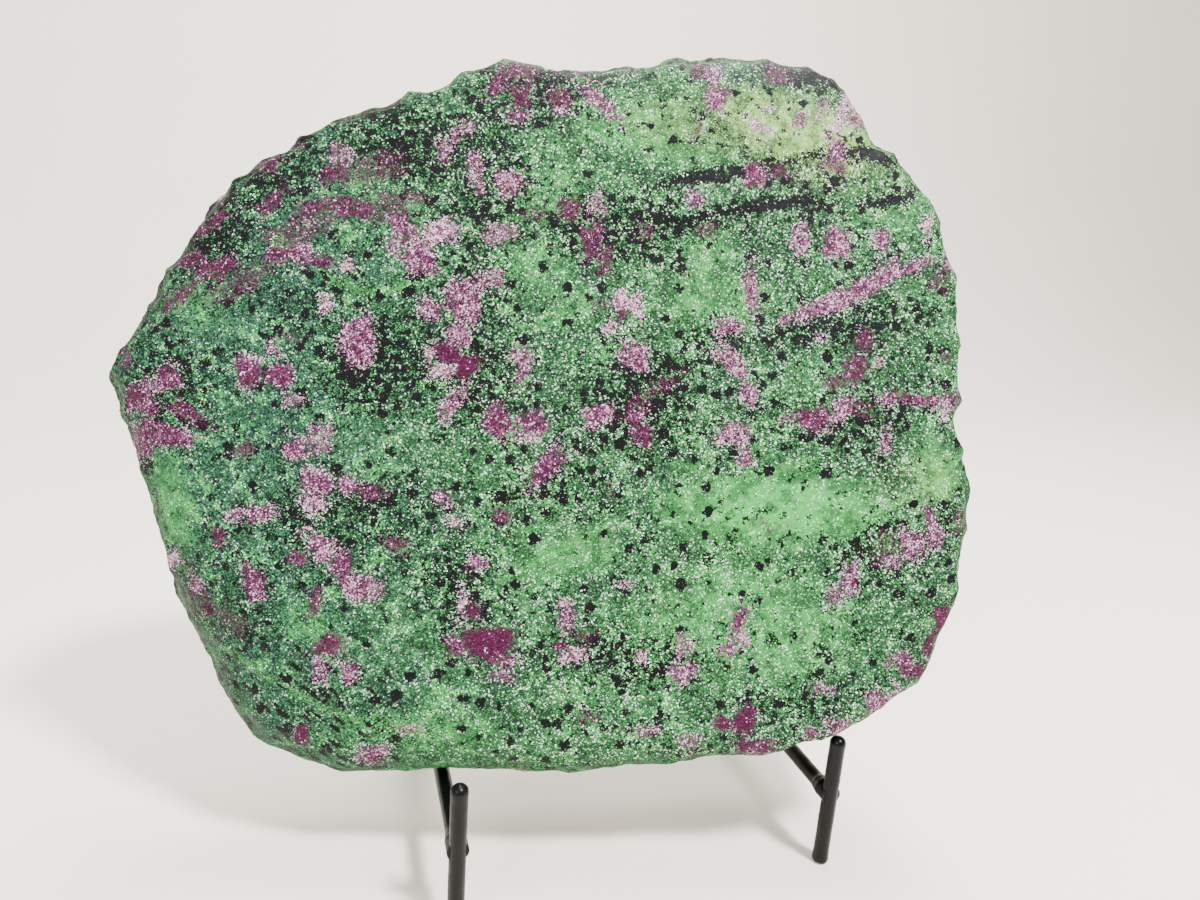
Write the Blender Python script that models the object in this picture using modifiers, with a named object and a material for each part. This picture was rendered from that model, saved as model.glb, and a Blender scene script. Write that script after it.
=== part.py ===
"""Ruby in zoisite: one large rough slab leaning on a small black stand of welded round rod.

Metres, +Z up. +X runs along the two front posts from the viewer's left to right and +Y runs
to the back. The finished object is centred on its footprint box, with the feet at z = 0.

The slab is built in its own axes, in millimetres: u to the right across its face, v up the
face and n out of the face towards the viewer. Its outline was read by eye on the plane n = 0,
from one viewpoint, so a contour that lies nearer or further than that plane is moved along
its line of sight by seen_at.
"""

import math

import bmesh
import bpy
from mathutils import Matrix, Vector, noise

MM = 0.001

# Rod stand
ROD_RADIUS = 3.175 * MM
POST_SPREAD = 152.4 * MM
FRONT_POST_HEIGHT = 59.0 * MM
REAR_POST_HEIGHT = 156.0 * MM
STAND_DEPTH = 104.5 * MM
ARM_HEIGHT = 32.0 * MM
LOWER_BAR_HEIGHT = 19.0 * MM
UPPER_BAR_HEIGHT = 140.0 * MM
END_SWELL = 1.07
NECK_LENGTH = 7.0 * MM
FOOT_FLAT_RADIUS = 2.2 * MM
FOOT_ROUNDING = 1.6 * MM
BEAD_RADIUS = 4.1 * MM
BEAD_LENGTH = 7.5 * MM
GAP = 0.3 * MM
ROD_SIDES = 16
DOME_STEPS = 3

# Slab's place: the foot of its outline plane, how far it is turned and how far it leans back
SLAB_FOOT = Vector((-14.0, 19.0, 35.5)) * MM
SLAB_TURN = math.radians(13.0)
SLAB_LEAN = math.radians(14.5)

# Viewpoint in the slab's own axes, in millimetres
EYE_U = -39.0
EYE_V = 134.0
EYE_N = 338.0

# Slab's body, in millimetres
CENTRE = (-30.0, 145.0)
FACE_N = 11.0
BACK_N = -46.0
BACK_WEDGE = 0.12
SIGHT_DEPTH = 0.5
SIGHT_REACH = 0.9
RIM_ALLOWANCE = 1.2
GRID_CELLS = 38
WALL_RINGS = 5
RIM_CROWDING = 0.4

# Outline of the slab as seen on the plane n = 0, counter-clockwise from the right, in mm
OUTLINE = (
    (138.7, 164.0), (138.3, 186.0), (136.0, 196.0), (135.0, 209.5), (131.0, 219.6), (127.0, 230.5),
    (124.2, 237.0), (120.7, 244.4), (113.0, 251.8), (108.9, 255.3), (106.0, 259.6), (98.0, 263.6),
    (94.0, 266.7), (90.4, 272.5), (88.4, 278.2), (81.1, 285.8), (73.3, 290.4), (67.5, 292.8),
    (54.2, 293.7), (46.0, 293.9), (34.6, 292.6), (28.0, 293.8), (18.2, 291.2), (9.1, 291.9),
    (0.1, 287.2), (-9.5, 287.8), (-19.0, 284.8), (-34.9, 284.3), (-43.0, 286.6), (-59.1, 284.9),
    (-67.5, 281.5), (-75.0, 275.9), (-83.2, 271.3), (-92.3, 269.0), (-99.9, 263.4), (-111.3, 259.7),
    (-119.5, 257.0), (-129.7, 249.7), (-136.8, 243.9), (-143.4, 240.6), (-152.7, 230.3),
    (-159.4, 225.0), (-165.9, 215.6), (-170.0, 206.0), (-177.0, 198.0), (-182.7, 186.3),
    (-185.7, 177.5), (-191.9, 167.0), (-198.0, 155.0), (-194.8, 144.6), (-189.6, 129.3),
    (-184.5, 116.4), (-177.7, 98.2), (-172.5, 82.0), (-163.5, 62.0), (-154.5, 46.5), (-148.0, 33.0),
    (-141.0, 22.0), (-130.0, 14.0), (-118.0, 9.3), (-104.0, 4.6), (-90.0, 4.0), (-80.0, 4.3),
    (-62.0, 5.8), (-40.0, 5.6), (-20.0, 4.7), (-5.0, 6.0), (10.0, 8.0), (30.0, 11.0), (50.0, 12.8),
    (68.0, 15.3), (80.0, 18.3), (90.0, 20.8), (97.0, 25.4), (107.0, 29.5), (113.0, 34.5),
    (120.0, 40.0), (127.0, 44.3), (129.3, 48.5), (132.5, 55.0), (134.0, 65.0), (137.5, 68.5),
    (141.6, 79.0), (142.3, 84.0), (140.6, 92.0), (143.0, 106.0), (144.8, 117.0), (142.8, 131.0),
    (140.5, 141.0), (137.4, 150.5),
)

# Rounding of the slab's edge around the outline: angle in degrees from the right, then in mm
# the front rounding's width and depth, the back rounding's width and depth, and the inset of
# the side wall from front to back
EDGE = (
    (0.0, 9.0, 8.0, 34.0, 20.0, 6.0),
    (35.0, 12.0, 10.0, 34.0, 20.0, 8.0),
    (58.0, 24.0, 17.0, 36.0, 20.0, 6.0),
    (85.0, 13.0, 12.0, 34.0, 18.0, 5.0),
    (130.0, 18.0, 14.0, 36.0, 16.0, 6.0),
    (165.0, 32.0, 22.0, 40.0, 9.0, 3.0),
    (200.0, 38.0, 25.0, 44.0, 9.0, 3.0),
    (232.0, 42.0, 30.0, 44.0, 8.0, 5.0),
    (255.0, 24.0, 22.0, 36.0, 10.0, 8.0),
    (280.0, 18.0, 19.0, 34.0, 12.0, 10.0),
    (300.0, 12.0, 11.0, 34.0, 14.0, 9.0),
    (316.0, 6.0, 5.0, 36.0, 16.0, 8.0),
    (335.0, 8.0, 7.0, 34.0, 20.0, 8.0),
)

# Relief of the slab: size of the lumps and their height, in mm, on the face and elsewhere
RELIEF = (
    (95.0, 2.4, 5.0),
    (34.0, 0.9, 2.6),
    (15.0, 0.35, 1.2),
)
FRACTURE_SIZE = 46.0
FRACTURE_TILT = 0.26
FRACTURE_HOLLOW = 3.0
FRACTURE_BLEND = 0.3

# Where the slab is carried: clearance over a support and how far around it the stone is dressed
SEAT_REACH = 9.0 * MM
SEAT_BLEND = 16.0 * MM

CLAMP_EPSILON = 1e-6


def clear_scene():
    """Remove every object of the open scene."""
    for obj in list(bpy.data.objects):
        bpy.data.objects.remove(obj, do_unlink=True)


def make_material(name, colour, roughness, metallic):
    """Plain Principled material with one colour, linear RGB."""
    material = bpy.data.materials.new(name)
    material.use_nodes = True
    shader = material.node_tree.nodes["Principled BSDF"]
    shader.inputs["Base Color"].default_value = (*colour, 1.0)
    shader.inputs["Roughness"].default_value = roughness
    shader.inputs["Metallic"].default_value = metallic
    material.diffuse_color = (*colour, 1.0)
    return material


def make_collection(name):
    """Collection linked to the scene."""
    collection = bpy.data.collections.new(name)
    bpy.context.scene.collection.children.link(collection)
    return collection


def add_object(name, mesh, collection, material):
    """Object of a mesh in a collection, with its material."""
    obj = bpy.data.objects.new(name, mesh)
    mesh.materials.append(material)
    collection.objects.link(obj)
    return obj


# Slab outline and section


def smooth_step(value):
    """Ease from 0 to 1."""
    value = min(max(value, 0.0), 1.0)
    return value * value * (3.0 - 2.0 * value)


def seen_at(u, v, n):
    """Point at depth n on the line of sight that passes through (u, v) on the plane n = 0."""
    scale = (EYE_N - n) / EYE_N
    return EYE_U + (u - EYE_U) * scale, EYE_V + (v - EYE_V) * scale


def edge_at(angle):
    """Rounding sizes at an angle, eased between the rows of EDGE."""
    degrees = math.degrees(angle) % 360.0
    rows = EDGE + ((EDGE[0][0] + 360.0, *EDGE[0][1:]),)
    for low, high in zip(rows, rows[1:]):
        if low[0] <= degrees <= high[0]:
            share = smooth_step((degrees - low[0]) / (high[0] - low[0]))
            return tuple(a + (b - a) * share for a, b in zip(low[1:], high[1:]))
    return EDGE[0][1:]


def rim_ring():
    """Angle and radius of the slab's widest contour, one pair for each outline point."""
    ring = []
    for u, v in OUTLINE:
        angle = math.atan2(v - CENTRE[1], u - CENTRE[0])
        width, depth = edge_at(angle)[:2]
        seen_u, seen_v = seen_at(u, v, FACE_N - SIGHT_DEPTH * depth)
        radius = math.hypot(seen_u - CENTRE[0], seen_v - CENTRE[1])
        radius += (1.0 - SIGHT_REACH) * width + RIM_ALLOWANCE
        ring.append((math.atan2(seen_v - CENTRE[1], seen_u - CENTRE[0]) % math.tau, radius))
    return sorted(ring)


def radius_at(angle, ring):
    """Radius of the widest contour at an angle, as a smooth curve through the ring's points."""
    angle %= math.tau
    count = len(ring)
    index = next((i for i, pair in enumerate(ring) if pair[0] > angle), 0)
    points = []
    for step in range(-2, 2):
        place = (index + step) % count
        turn = math.tau * ((index + step) // count)
        points.append((ring[place][0] + turn, ring[place][1]))
    (a0, r0), (a1, r1), (a2, r2), (a3, r3) = points
    if not a1 - CLAMP_EPSILON <= angle <= a2 + CLAMP_EPSILON:
        angle += math.tau if angle < a1 else -math.tau
    t = (angle - a1) / (a2 - a1)
    slope1 = (r2 - r0) / (a2 - a0) * (a2 - a1)
    slope2 = (r3 - r1) / (a3 - a1) * (a2 - a1)
    return (
        (2 * t**3 - 3 * t**2 + 1) * r1
        + (t**3 - 2 * t**2 + t) * slope1
        + (3 * t**2 - 2 * t**3) * r2
        + (t**3 - t**2) * slope2
    )


def rounding(distance, width, depth):
    """How far a surface has dropped at a distance inside its rim, as a quarter ellipse."""
    if distance >= width:
        return 0.0
    share = 1.0 - distance / width
    return depth * (1.0 - math.sqrt(max(0.0, 1.0 - share * share)))


def crowd(value):
    """Move grid lines towards the rim, where the slab's edge needs more of them."""
    return (1.0 - RIM_CROWDING) * value + RIM_CROWDING * math.sin(value * math.pi / 2.0)


def lumps(point, amounts):
    """Rolling relief at a point, in mm, for one column of RELIEF."""
    height = 0.0
    for index, (size, *heights) in enumerate(RELIEF):
        height += heights[amounts] * noise.noise(point / size + Vector((17.0 * index, 5.0, 3.0)))
    return height


def facet_height(point, seed):
    """Height of one tilted facet at a point, in mm; the facet is fixed by its seed point."""
    away = point - seed * FRACTURE_SIZE
    tilt = Vector([noise.noise(seed * 3.7 + Vector((1.3, 2.1, 0.4)) * axis) for axis in (1, 2, 3)])
    return FRACTURE_TILT * tilt.dot(away)


def fracture(point):
    """Broken relief at a point, in mm: tilted, slightly hollow facets that meet in soft ledges."""
    distances, seeds = noise.voronoi(point / FRACTURE_SIZE, distance_metric="DISTANCE")
    hollow = FRACTURE_HOLLOW * max(0.0, 0.6 - distances[0])
    height = 0.0
    total = 0.0
    for distance, seed in zip(distances, seeds):
        weight = max(0.0, 1.0 - (distance - distances[0]) / FRACTURE_BLEND) ** 2
        height += weight * facet_height(point, seed)
        total += weight
    return height / total - hollow


def face_height(u, v):
    """Level of the face at a place, in mm out of the outline plane."""
    return FACE_N + lumps(Vector((u, v, 0.0)), 0)


def back_height(u, v):
    """Level of the back at a place, in mm."""
    point = Vector((u, v, -60.0))
    return BACK_N - BACK_WEDGE * u + lumps(point, 1) + fracture(point)


def slab_point(s, t, w, ring):
    """Place of a vertex of the unit block in the slab's own axes, in mm."""
    s, t = crowd(s), crowd(t)
    across = s * math.sqrt(1.0 - t * t / 2.0)
    up = t * math.sqrt(1.0 - s * s / 2.0)
    share = min(math.hypot(across, up), 1.0)
    angle = math.atan2(up, across)
    front_width, front_depth, back_width, back_depth, inset = edge_at(angle)
    radius = radius_at(angle, ring)
    if w > 1.0 - CLAMP_EPSILON:
        place = at_radius(angle, radius * share)
        drop = rounding(radius * (1.0 - share), front_width, front_depth)
        return Vector((*place, face_height(*place) - drop))
    if w < -1.0 + CLAMP_EPSILON:
        back_radius = radius - inset
        place = at_radius(angle, back_radius * share)
        drop = rounding(back_radius * (1.0 - share), back_width, back_depth)
        return Vector((*place, back_height(*place) + drop))
    return wall_point(angle, radius, (1.0 - w) / 2.0, (front_depth, back_depth, inset))


def at_radius(angle, radius):
    """Plane coordinates at an angle and radius about the slab's centre."""
    return CENTRE[0] + radius * math.cos(angle), CENTRE[1] + radius * math.sin(angle)


def wall_point(angle, radius, share, sizes):
    """Place of a vertex of the side wall, share of the way from the front rim to the back rim."""
    front_depth, back_depth, inset = sizes
    front = at_radius(angle, radius)
    back = at_radius(angle, radius - inset)
    front_n = face_height(*front) - front_depth
    back_n = back_height(*back) + back_depth
    n = front_n + (back_n - front_n) * share
    place = at_radius(angle, radius - inset * share**1.5)
    swell = math.sin(math.pi * share)
    point = Vector((*place, n))
    push = swell * (1.2 + 0.8 * lumps(point, 1) + 0.6 * fracture(point))
    return Vector((*at_radius(angle, radius - inset * share**1.5 + push), n))


def slab_matrix():
    """Matrix from the slab's own axes, in mm, to the stand's axes, in metres."""
    turn = Matrix.Rotation(-SLAB_TURN, 4, "Z")
    lean = Matrix.Rotation(math.pi / 2.0 - SLAB_LEAN, 4, "X")
    return Matrix.Translation(SLAB_FOOT) @ turn @ lean @ Matrix.Scale(MM, 4)


def unit_block():
    """Cube from -1 to 1 with a fine grid on its front and back and a few rings between them."""
    mesh = bmesh.new()
    bmesh.ops.create_cube(mesh, size=2.0)
    level = [e for e in mesh.edges if abs(e.verts[0].co.z - e.verts[1].co.z) < CLAMP_EPSILON]
    bmesh.ops.subdivide_edges(mesh, edges=level, cuts=GRID_CELLS - 1, use_grid_fill=True)
    upright = [e for e in mesh.edges if abs(e.verts[0].co.z - e.verts[1].co.z) > 1.0]
    bmesh.ops.subdivide_edges(mesh, edges=upright, cuts=WALL_RINGS - 1, use_grid_fill=True)
    return mesh


# Where the slab is carried


def seat_height(point):
    """Lowest height the stone may have over a place, with the distance from that support."""
    half = POST_SPREAD / 2.0
    clearance = ROD_RADIUS * END_SWELL + GAP
    arm_top = ARM_HEIGHT + ROD_RADIUS + GAP
    over_tip = math.hypot(point.x - half, point.y)
    supports = [(over_tip, FRONT_POST_HEIGHT + GAP)]
    for side in (-half, half):
        supports.append((abs(point.x - side), arm_top))
    return [(max(0.0, away - clearance), height) for away, height in supports]


def dress_seats(mesh):
    """Raise the underside where it would sink into the arms or the right front post."""
    for vert in mesh.verts:
        for away, height in seat_height(vert.co):
            if away < SEAT_BLEND and vert.co.z < height:
                hold = 1.0 - smooth_step((away - SEAT_REACH) / (SEAT_BLEND - SEAT_REACH))
                vert.co.z += (height - vert.co.z) * hold


def rear_frame_distance(point):
    """Distance of a place, seen from behind, from the upper bar or a rear post."""
    half = POST_SPREAD / 2.0
    beyond_bar = max(0.0, abs(point.x) - half)
    to_bar = math.hypot(beyond_bar, point.z - UPPER_BAR_HEIGHT)
    above_post = max(0.0, point.z - REAR_POST_HEIGHT)
    to_post = math.hypot(abs(point.x) - half, above_post)
    return max(0.0, min(to_bar, to_post) - ROD_RADIUS * END_SWELL)


def dress_back(mesh):
    """Press the back flat where it leans on the upper bar and the rear posts."""
    limit = STAND_DEPTH - BEAD_RADIUS - GAP
    for vert in mesh.verts:
        away = rear_frame_distance(vert.co)
        if away < SEAT_BLEND and vert.co.y > limit:
            hold = 1.0 - smooth_step((away - SEAT_REACH) / (SEAT_BLEND - SEAT_REACH))
            vert.co.y += (limit - vert.co.y) * hold


def build_stone(collection, material):
    """The slab as one closed body."""
    ring = rim_ring()
    mesh = unit_block()
    for vert in mesh.verts:
        vert.co = slab_point(vert.co.x, vert.co.y, vert.co.z, ring)
    bmesh.ops.transform(mesh, matrix=slab_matrix(), verts=mesh.verts)
    dress_seats(mesh)
    dress_back(mesh)
    bmesh.ops.recalc_face_normals(mesh, faces=mesh.faces)
    data = bpy.data.meshes.new("stone")
    mesh.to_mesh(data)
    mesh.free()
    data.polygons.foreach_set("use_smooth", [True] * len(data.polygons))
    return add_object("stone", data, collection, material)


# Rod stand


def turned(name, profile, collection, material):
    """Round piece about Z from a profile of (radius, height) points, from the top down."""
    data = bpy.data.meshes.new(name)
    edges = [(i, i + 1) for i in range(len(profile) - 1)]
    data.from_pydata([(radius, 0.0, height) for radius, height in profile], edges, [])
    obj = add_object(name, data, collection, material)
    screw = obj.modifiers.new("Turn", "SCREW")
    screw.steps = ROD_SIDES
    screw.render_steps = ROD_SIDES
    screw.use_merge_vertices = True
    screw.merge_threshold = 0.00001
    screw.use_smooth_shade = True
    return obj


def post_profile(height):
    """Rod standing on a small flat, with both ends domed and a little swollen."""
    end = ROD_RADIUS * END_SWELL
    profile = [(0.0, height)]
    for step in range(1, DOME_STEPS + 1):
        angle = math.pi / 2.0 * step / DOME_STEPS
        profile.append((end * math.sin(angle), height - end * (1.0 - math.cos(angle))))
    profile.append((ROD_RADIUS, height - NECK_LENGTH))
    profile.append((ROD_RADIUS, NECK_LENGTH))
    profile.append((end, FOOT_ROUNDING + 0.6 * MM))
    profile.append((end * 0.94, FOOT_ROUNDING * 0.45))
    profile.append((FOOT_FLAT_RADIUS, 0.0))
    profile.append((0.0, 0.0))
    return profile


def build_posts(collection, material):
    """Two front posts, which are foot and prong in one, and two taller rear posts."""
    for side, x in (("left", -POST_SPREAD / 2.0), ("right", POST_SPREAD / 2.0)):
        front = turned(f"front_post_{side}", post_profile(FRONT_POST_HEIGHT), collection, material)
        front.location = (x, 0.0, 0.0)
        rear = turned(f"rear_post_{side}", post_profile(REAR_POST_HEIGHT), collection, material)
        rear.location = (x, STAND_DEPTH, 0.0)


def welded_profile(length):
    """Rod between two post axes, from the top down, thickened by a weld bead at each end."""
    inset = 0.8 * MM
    bead = (
        (0.0, inset),
        (BEAD_RADIUS * 0.88, inset),
        (BEAD_RADIUS, inset + BEAD_LENGTH * 0.35),
        (BEAD_RADIUS * 0.84, inset + BEAD_LENGTH * 0.7),
        (ROD_RADIUS, inset + BEAD_LENGTH),
    )
    upper = [(radius, length - height) for radius, height in bead]
    lower = [(radius, height) for radius, height in reversed(bead)]
    return upper + lower


def saddle_cutter(name, x, y, collection):
    """Upright cylinder a gap larger than a post, which cuts the seat of a welded end."""
    mesh = bmesh.new()
    bmesh.ops.create_cone(
        mesh,
        cap_ends=True,
        segments=ROD_SIDES,
        radius1=ROD_RADIUS * END_SWELL + GAP,
        radius2=ROD_RADIUS * END_SWELL + GAP,
        depth=REAR_POST_HEIGHT * 2.0,
        matrix=Matrix.Translation((x, y, 0.0)),
    )
    data = bpy.data.meshes.new(name)
    mesh.to_mesh(data)
    mesh.free()
    cutter = bpy.data.objects.new(name, data)
    cutter.hide_render = True
    cutter.display_type = "WIRE"
    collection.objects.link(cutter)
    return cutter


def saddle(obj, cutters):
    """Cut a welded rod's ends to the posts that it meets."""
    for cutter in cutters:
        cut = obj.modifiers.new("Saddle", "BOOLEAN")
        cut.operation = "DIFFERENCE"
        cut.solver = "EXACT"
        cut.object = cutter


def build_rails(collection, cutters_collection, material):
    """Two arms from front to back and two crossbars between the rear posts."""
    half = POST_SPREAD / 2.0
    cutters = {}
    for side, x in (("left", -half), ("right", half)):
        for end, y in (("front", 0.0), ("rear", STAND_DEPTH)):
            cutters[side, end] = saddle_cutter(f"cut_{end}_{side}", x, y, cutters_collection)
    for side, x in (("left", -half), ("right", half)):
        arm = turned(f"arm_{side}", welded_profile(STAND_DEPTH), collection, material)
        arm.location = (x, 0.0, ARM_HEIGHT)
        arm.rotation_euler = (-math.pi / 2.0, 0.0, 0.0)
        saddle(arm, [cutters[side, "front"], cutters[side, "rear"]])
    for level, height in (("lower", LOWER_BAR_HEIGHT), ("upper", UPPER_BAR_HEIGHT)):
        bar = turned(f"crossbar_{level}", welded_profile(POST_SPREAD), collection, material)
        bar.location = (-half, STAND_DEPTH, height)
        bar.rotation_euler = (0.0, math.pi / 2.0, 0.0)
        saddle(bar, [cutters["left", "rear"], cutters["right", "rear"]])


def centre_on_footprint(collections):
    """Move everything so that the object's box is centred over the origin."""
    bpy.context.view_layer.update()
    stone = bpy.data.objects["stone"]
    corners = [stone.matrix_world @ vert.co for vert in stone.data.vertices]
    reach = ROD_RADIUS * END_SWELL
    low_y = min(min(c.y for c in corners), -reach)
    high_y = max(max(c.y for c in corners), STAND_DEPTH + reach)
    low_x = min(c.x for c in corners)
    high_x = max(c.x for c in corners)
    shift = Vector((-(low_x + high_x) / 2.0, -(low_y + high_y) / 2.0, 0.0))
    for collection in collections:
        for obj in collection.objects:
            obj.location += shift
    return shift


def main():
    """Build the slab and its stand."""
    clear_scene()
    stone_material = make_material("ruby_in_zoisite", (0.105, 0.270, 0.130), 0.6, 0.0)
    rod_material = make_material("black_coated_steel", (0.012, 0.013, 0.015), 0.38, 0.0)
    collection = make_collection("ruby_in_zoisite_on_stand")
    cutters = make_collection("cutters")
    build_stone(collection, stone_material)
    build_posts(collection, rod_material)
    build_rails(collection, cutters, rod_material)
    centre_on_footprint((collection, cutters))
    bpy.context.view_layer.update()


main()
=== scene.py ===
"""Ruby in zoisite: a large rough slab leaning on a small black stand of welded round rod.

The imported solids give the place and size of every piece. The slab is dressed with a fine mesh
that follows its solid, with chipped rims, broken ledges and sugary grain, and with the ruby,
hornblende and paler zones that can be seen on its face. The stand's rods are swept along their
axes with domed tips and small weld beads. Metres, +Z up; marks on the face are in millimetres.
"""

import logging
import math
import random
from dataclasses import dataclass, field
from enum import Enum
from typing import Any, Iterable, Sequence

import bmesh
import bpy
import numpy as np
from mathutils import Matrix, Vector


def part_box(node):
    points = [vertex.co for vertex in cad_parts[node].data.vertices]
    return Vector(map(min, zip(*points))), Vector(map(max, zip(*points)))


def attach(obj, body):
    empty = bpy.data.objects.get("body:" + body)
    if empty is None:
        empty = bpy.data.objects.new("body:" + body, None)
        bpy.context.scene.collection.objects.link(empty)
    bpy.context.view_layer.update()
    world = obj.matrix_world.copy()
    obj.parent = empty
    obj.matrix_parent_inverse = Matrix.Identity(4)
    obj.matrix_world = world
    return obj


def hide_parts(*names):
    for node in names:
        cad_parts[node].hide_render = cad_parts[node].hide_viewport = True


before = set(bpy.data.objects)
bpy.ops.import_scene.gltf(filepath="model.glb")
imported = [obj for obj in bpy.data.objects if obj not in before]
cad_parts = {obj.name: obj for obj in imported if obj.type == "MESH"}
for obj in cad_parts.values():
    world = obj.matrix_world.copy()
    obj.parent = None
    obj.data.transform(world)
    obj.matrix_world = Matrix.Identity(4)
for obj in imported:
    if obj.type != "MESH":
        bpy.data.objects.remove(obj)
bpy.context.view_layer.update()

MM = 0.001
BODY = "root"

# Depth in mm that a point has when no mark is near it, and the share of sight at which the face ends
OUTSIDE = -6.0
FACE_ENDS = 0.5

log = logging.getLogger("ruby_in_zoisite")


class Slot(Enum):
    """Names for the two material slots; nothing in the script uses them."""

    STONE = "ruby_in_zoisite"
    STEEL = "black_coated_steel"


class Tint(Enum):
    """Looks of ruby on the face: how light it is from 0 to 1, and its share of the grains."""

    DEEP = (0.06, 1.00)
    DARK = (0.17, 0.72)
    MAGENTA = (0.36, 0.88)
    PINK = (0.56, 0.86)
    PALE = (0.82, 0.84)
    LILAC = (0.60, 0.62)
    DULL = (0.16, 0.50)
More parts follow.
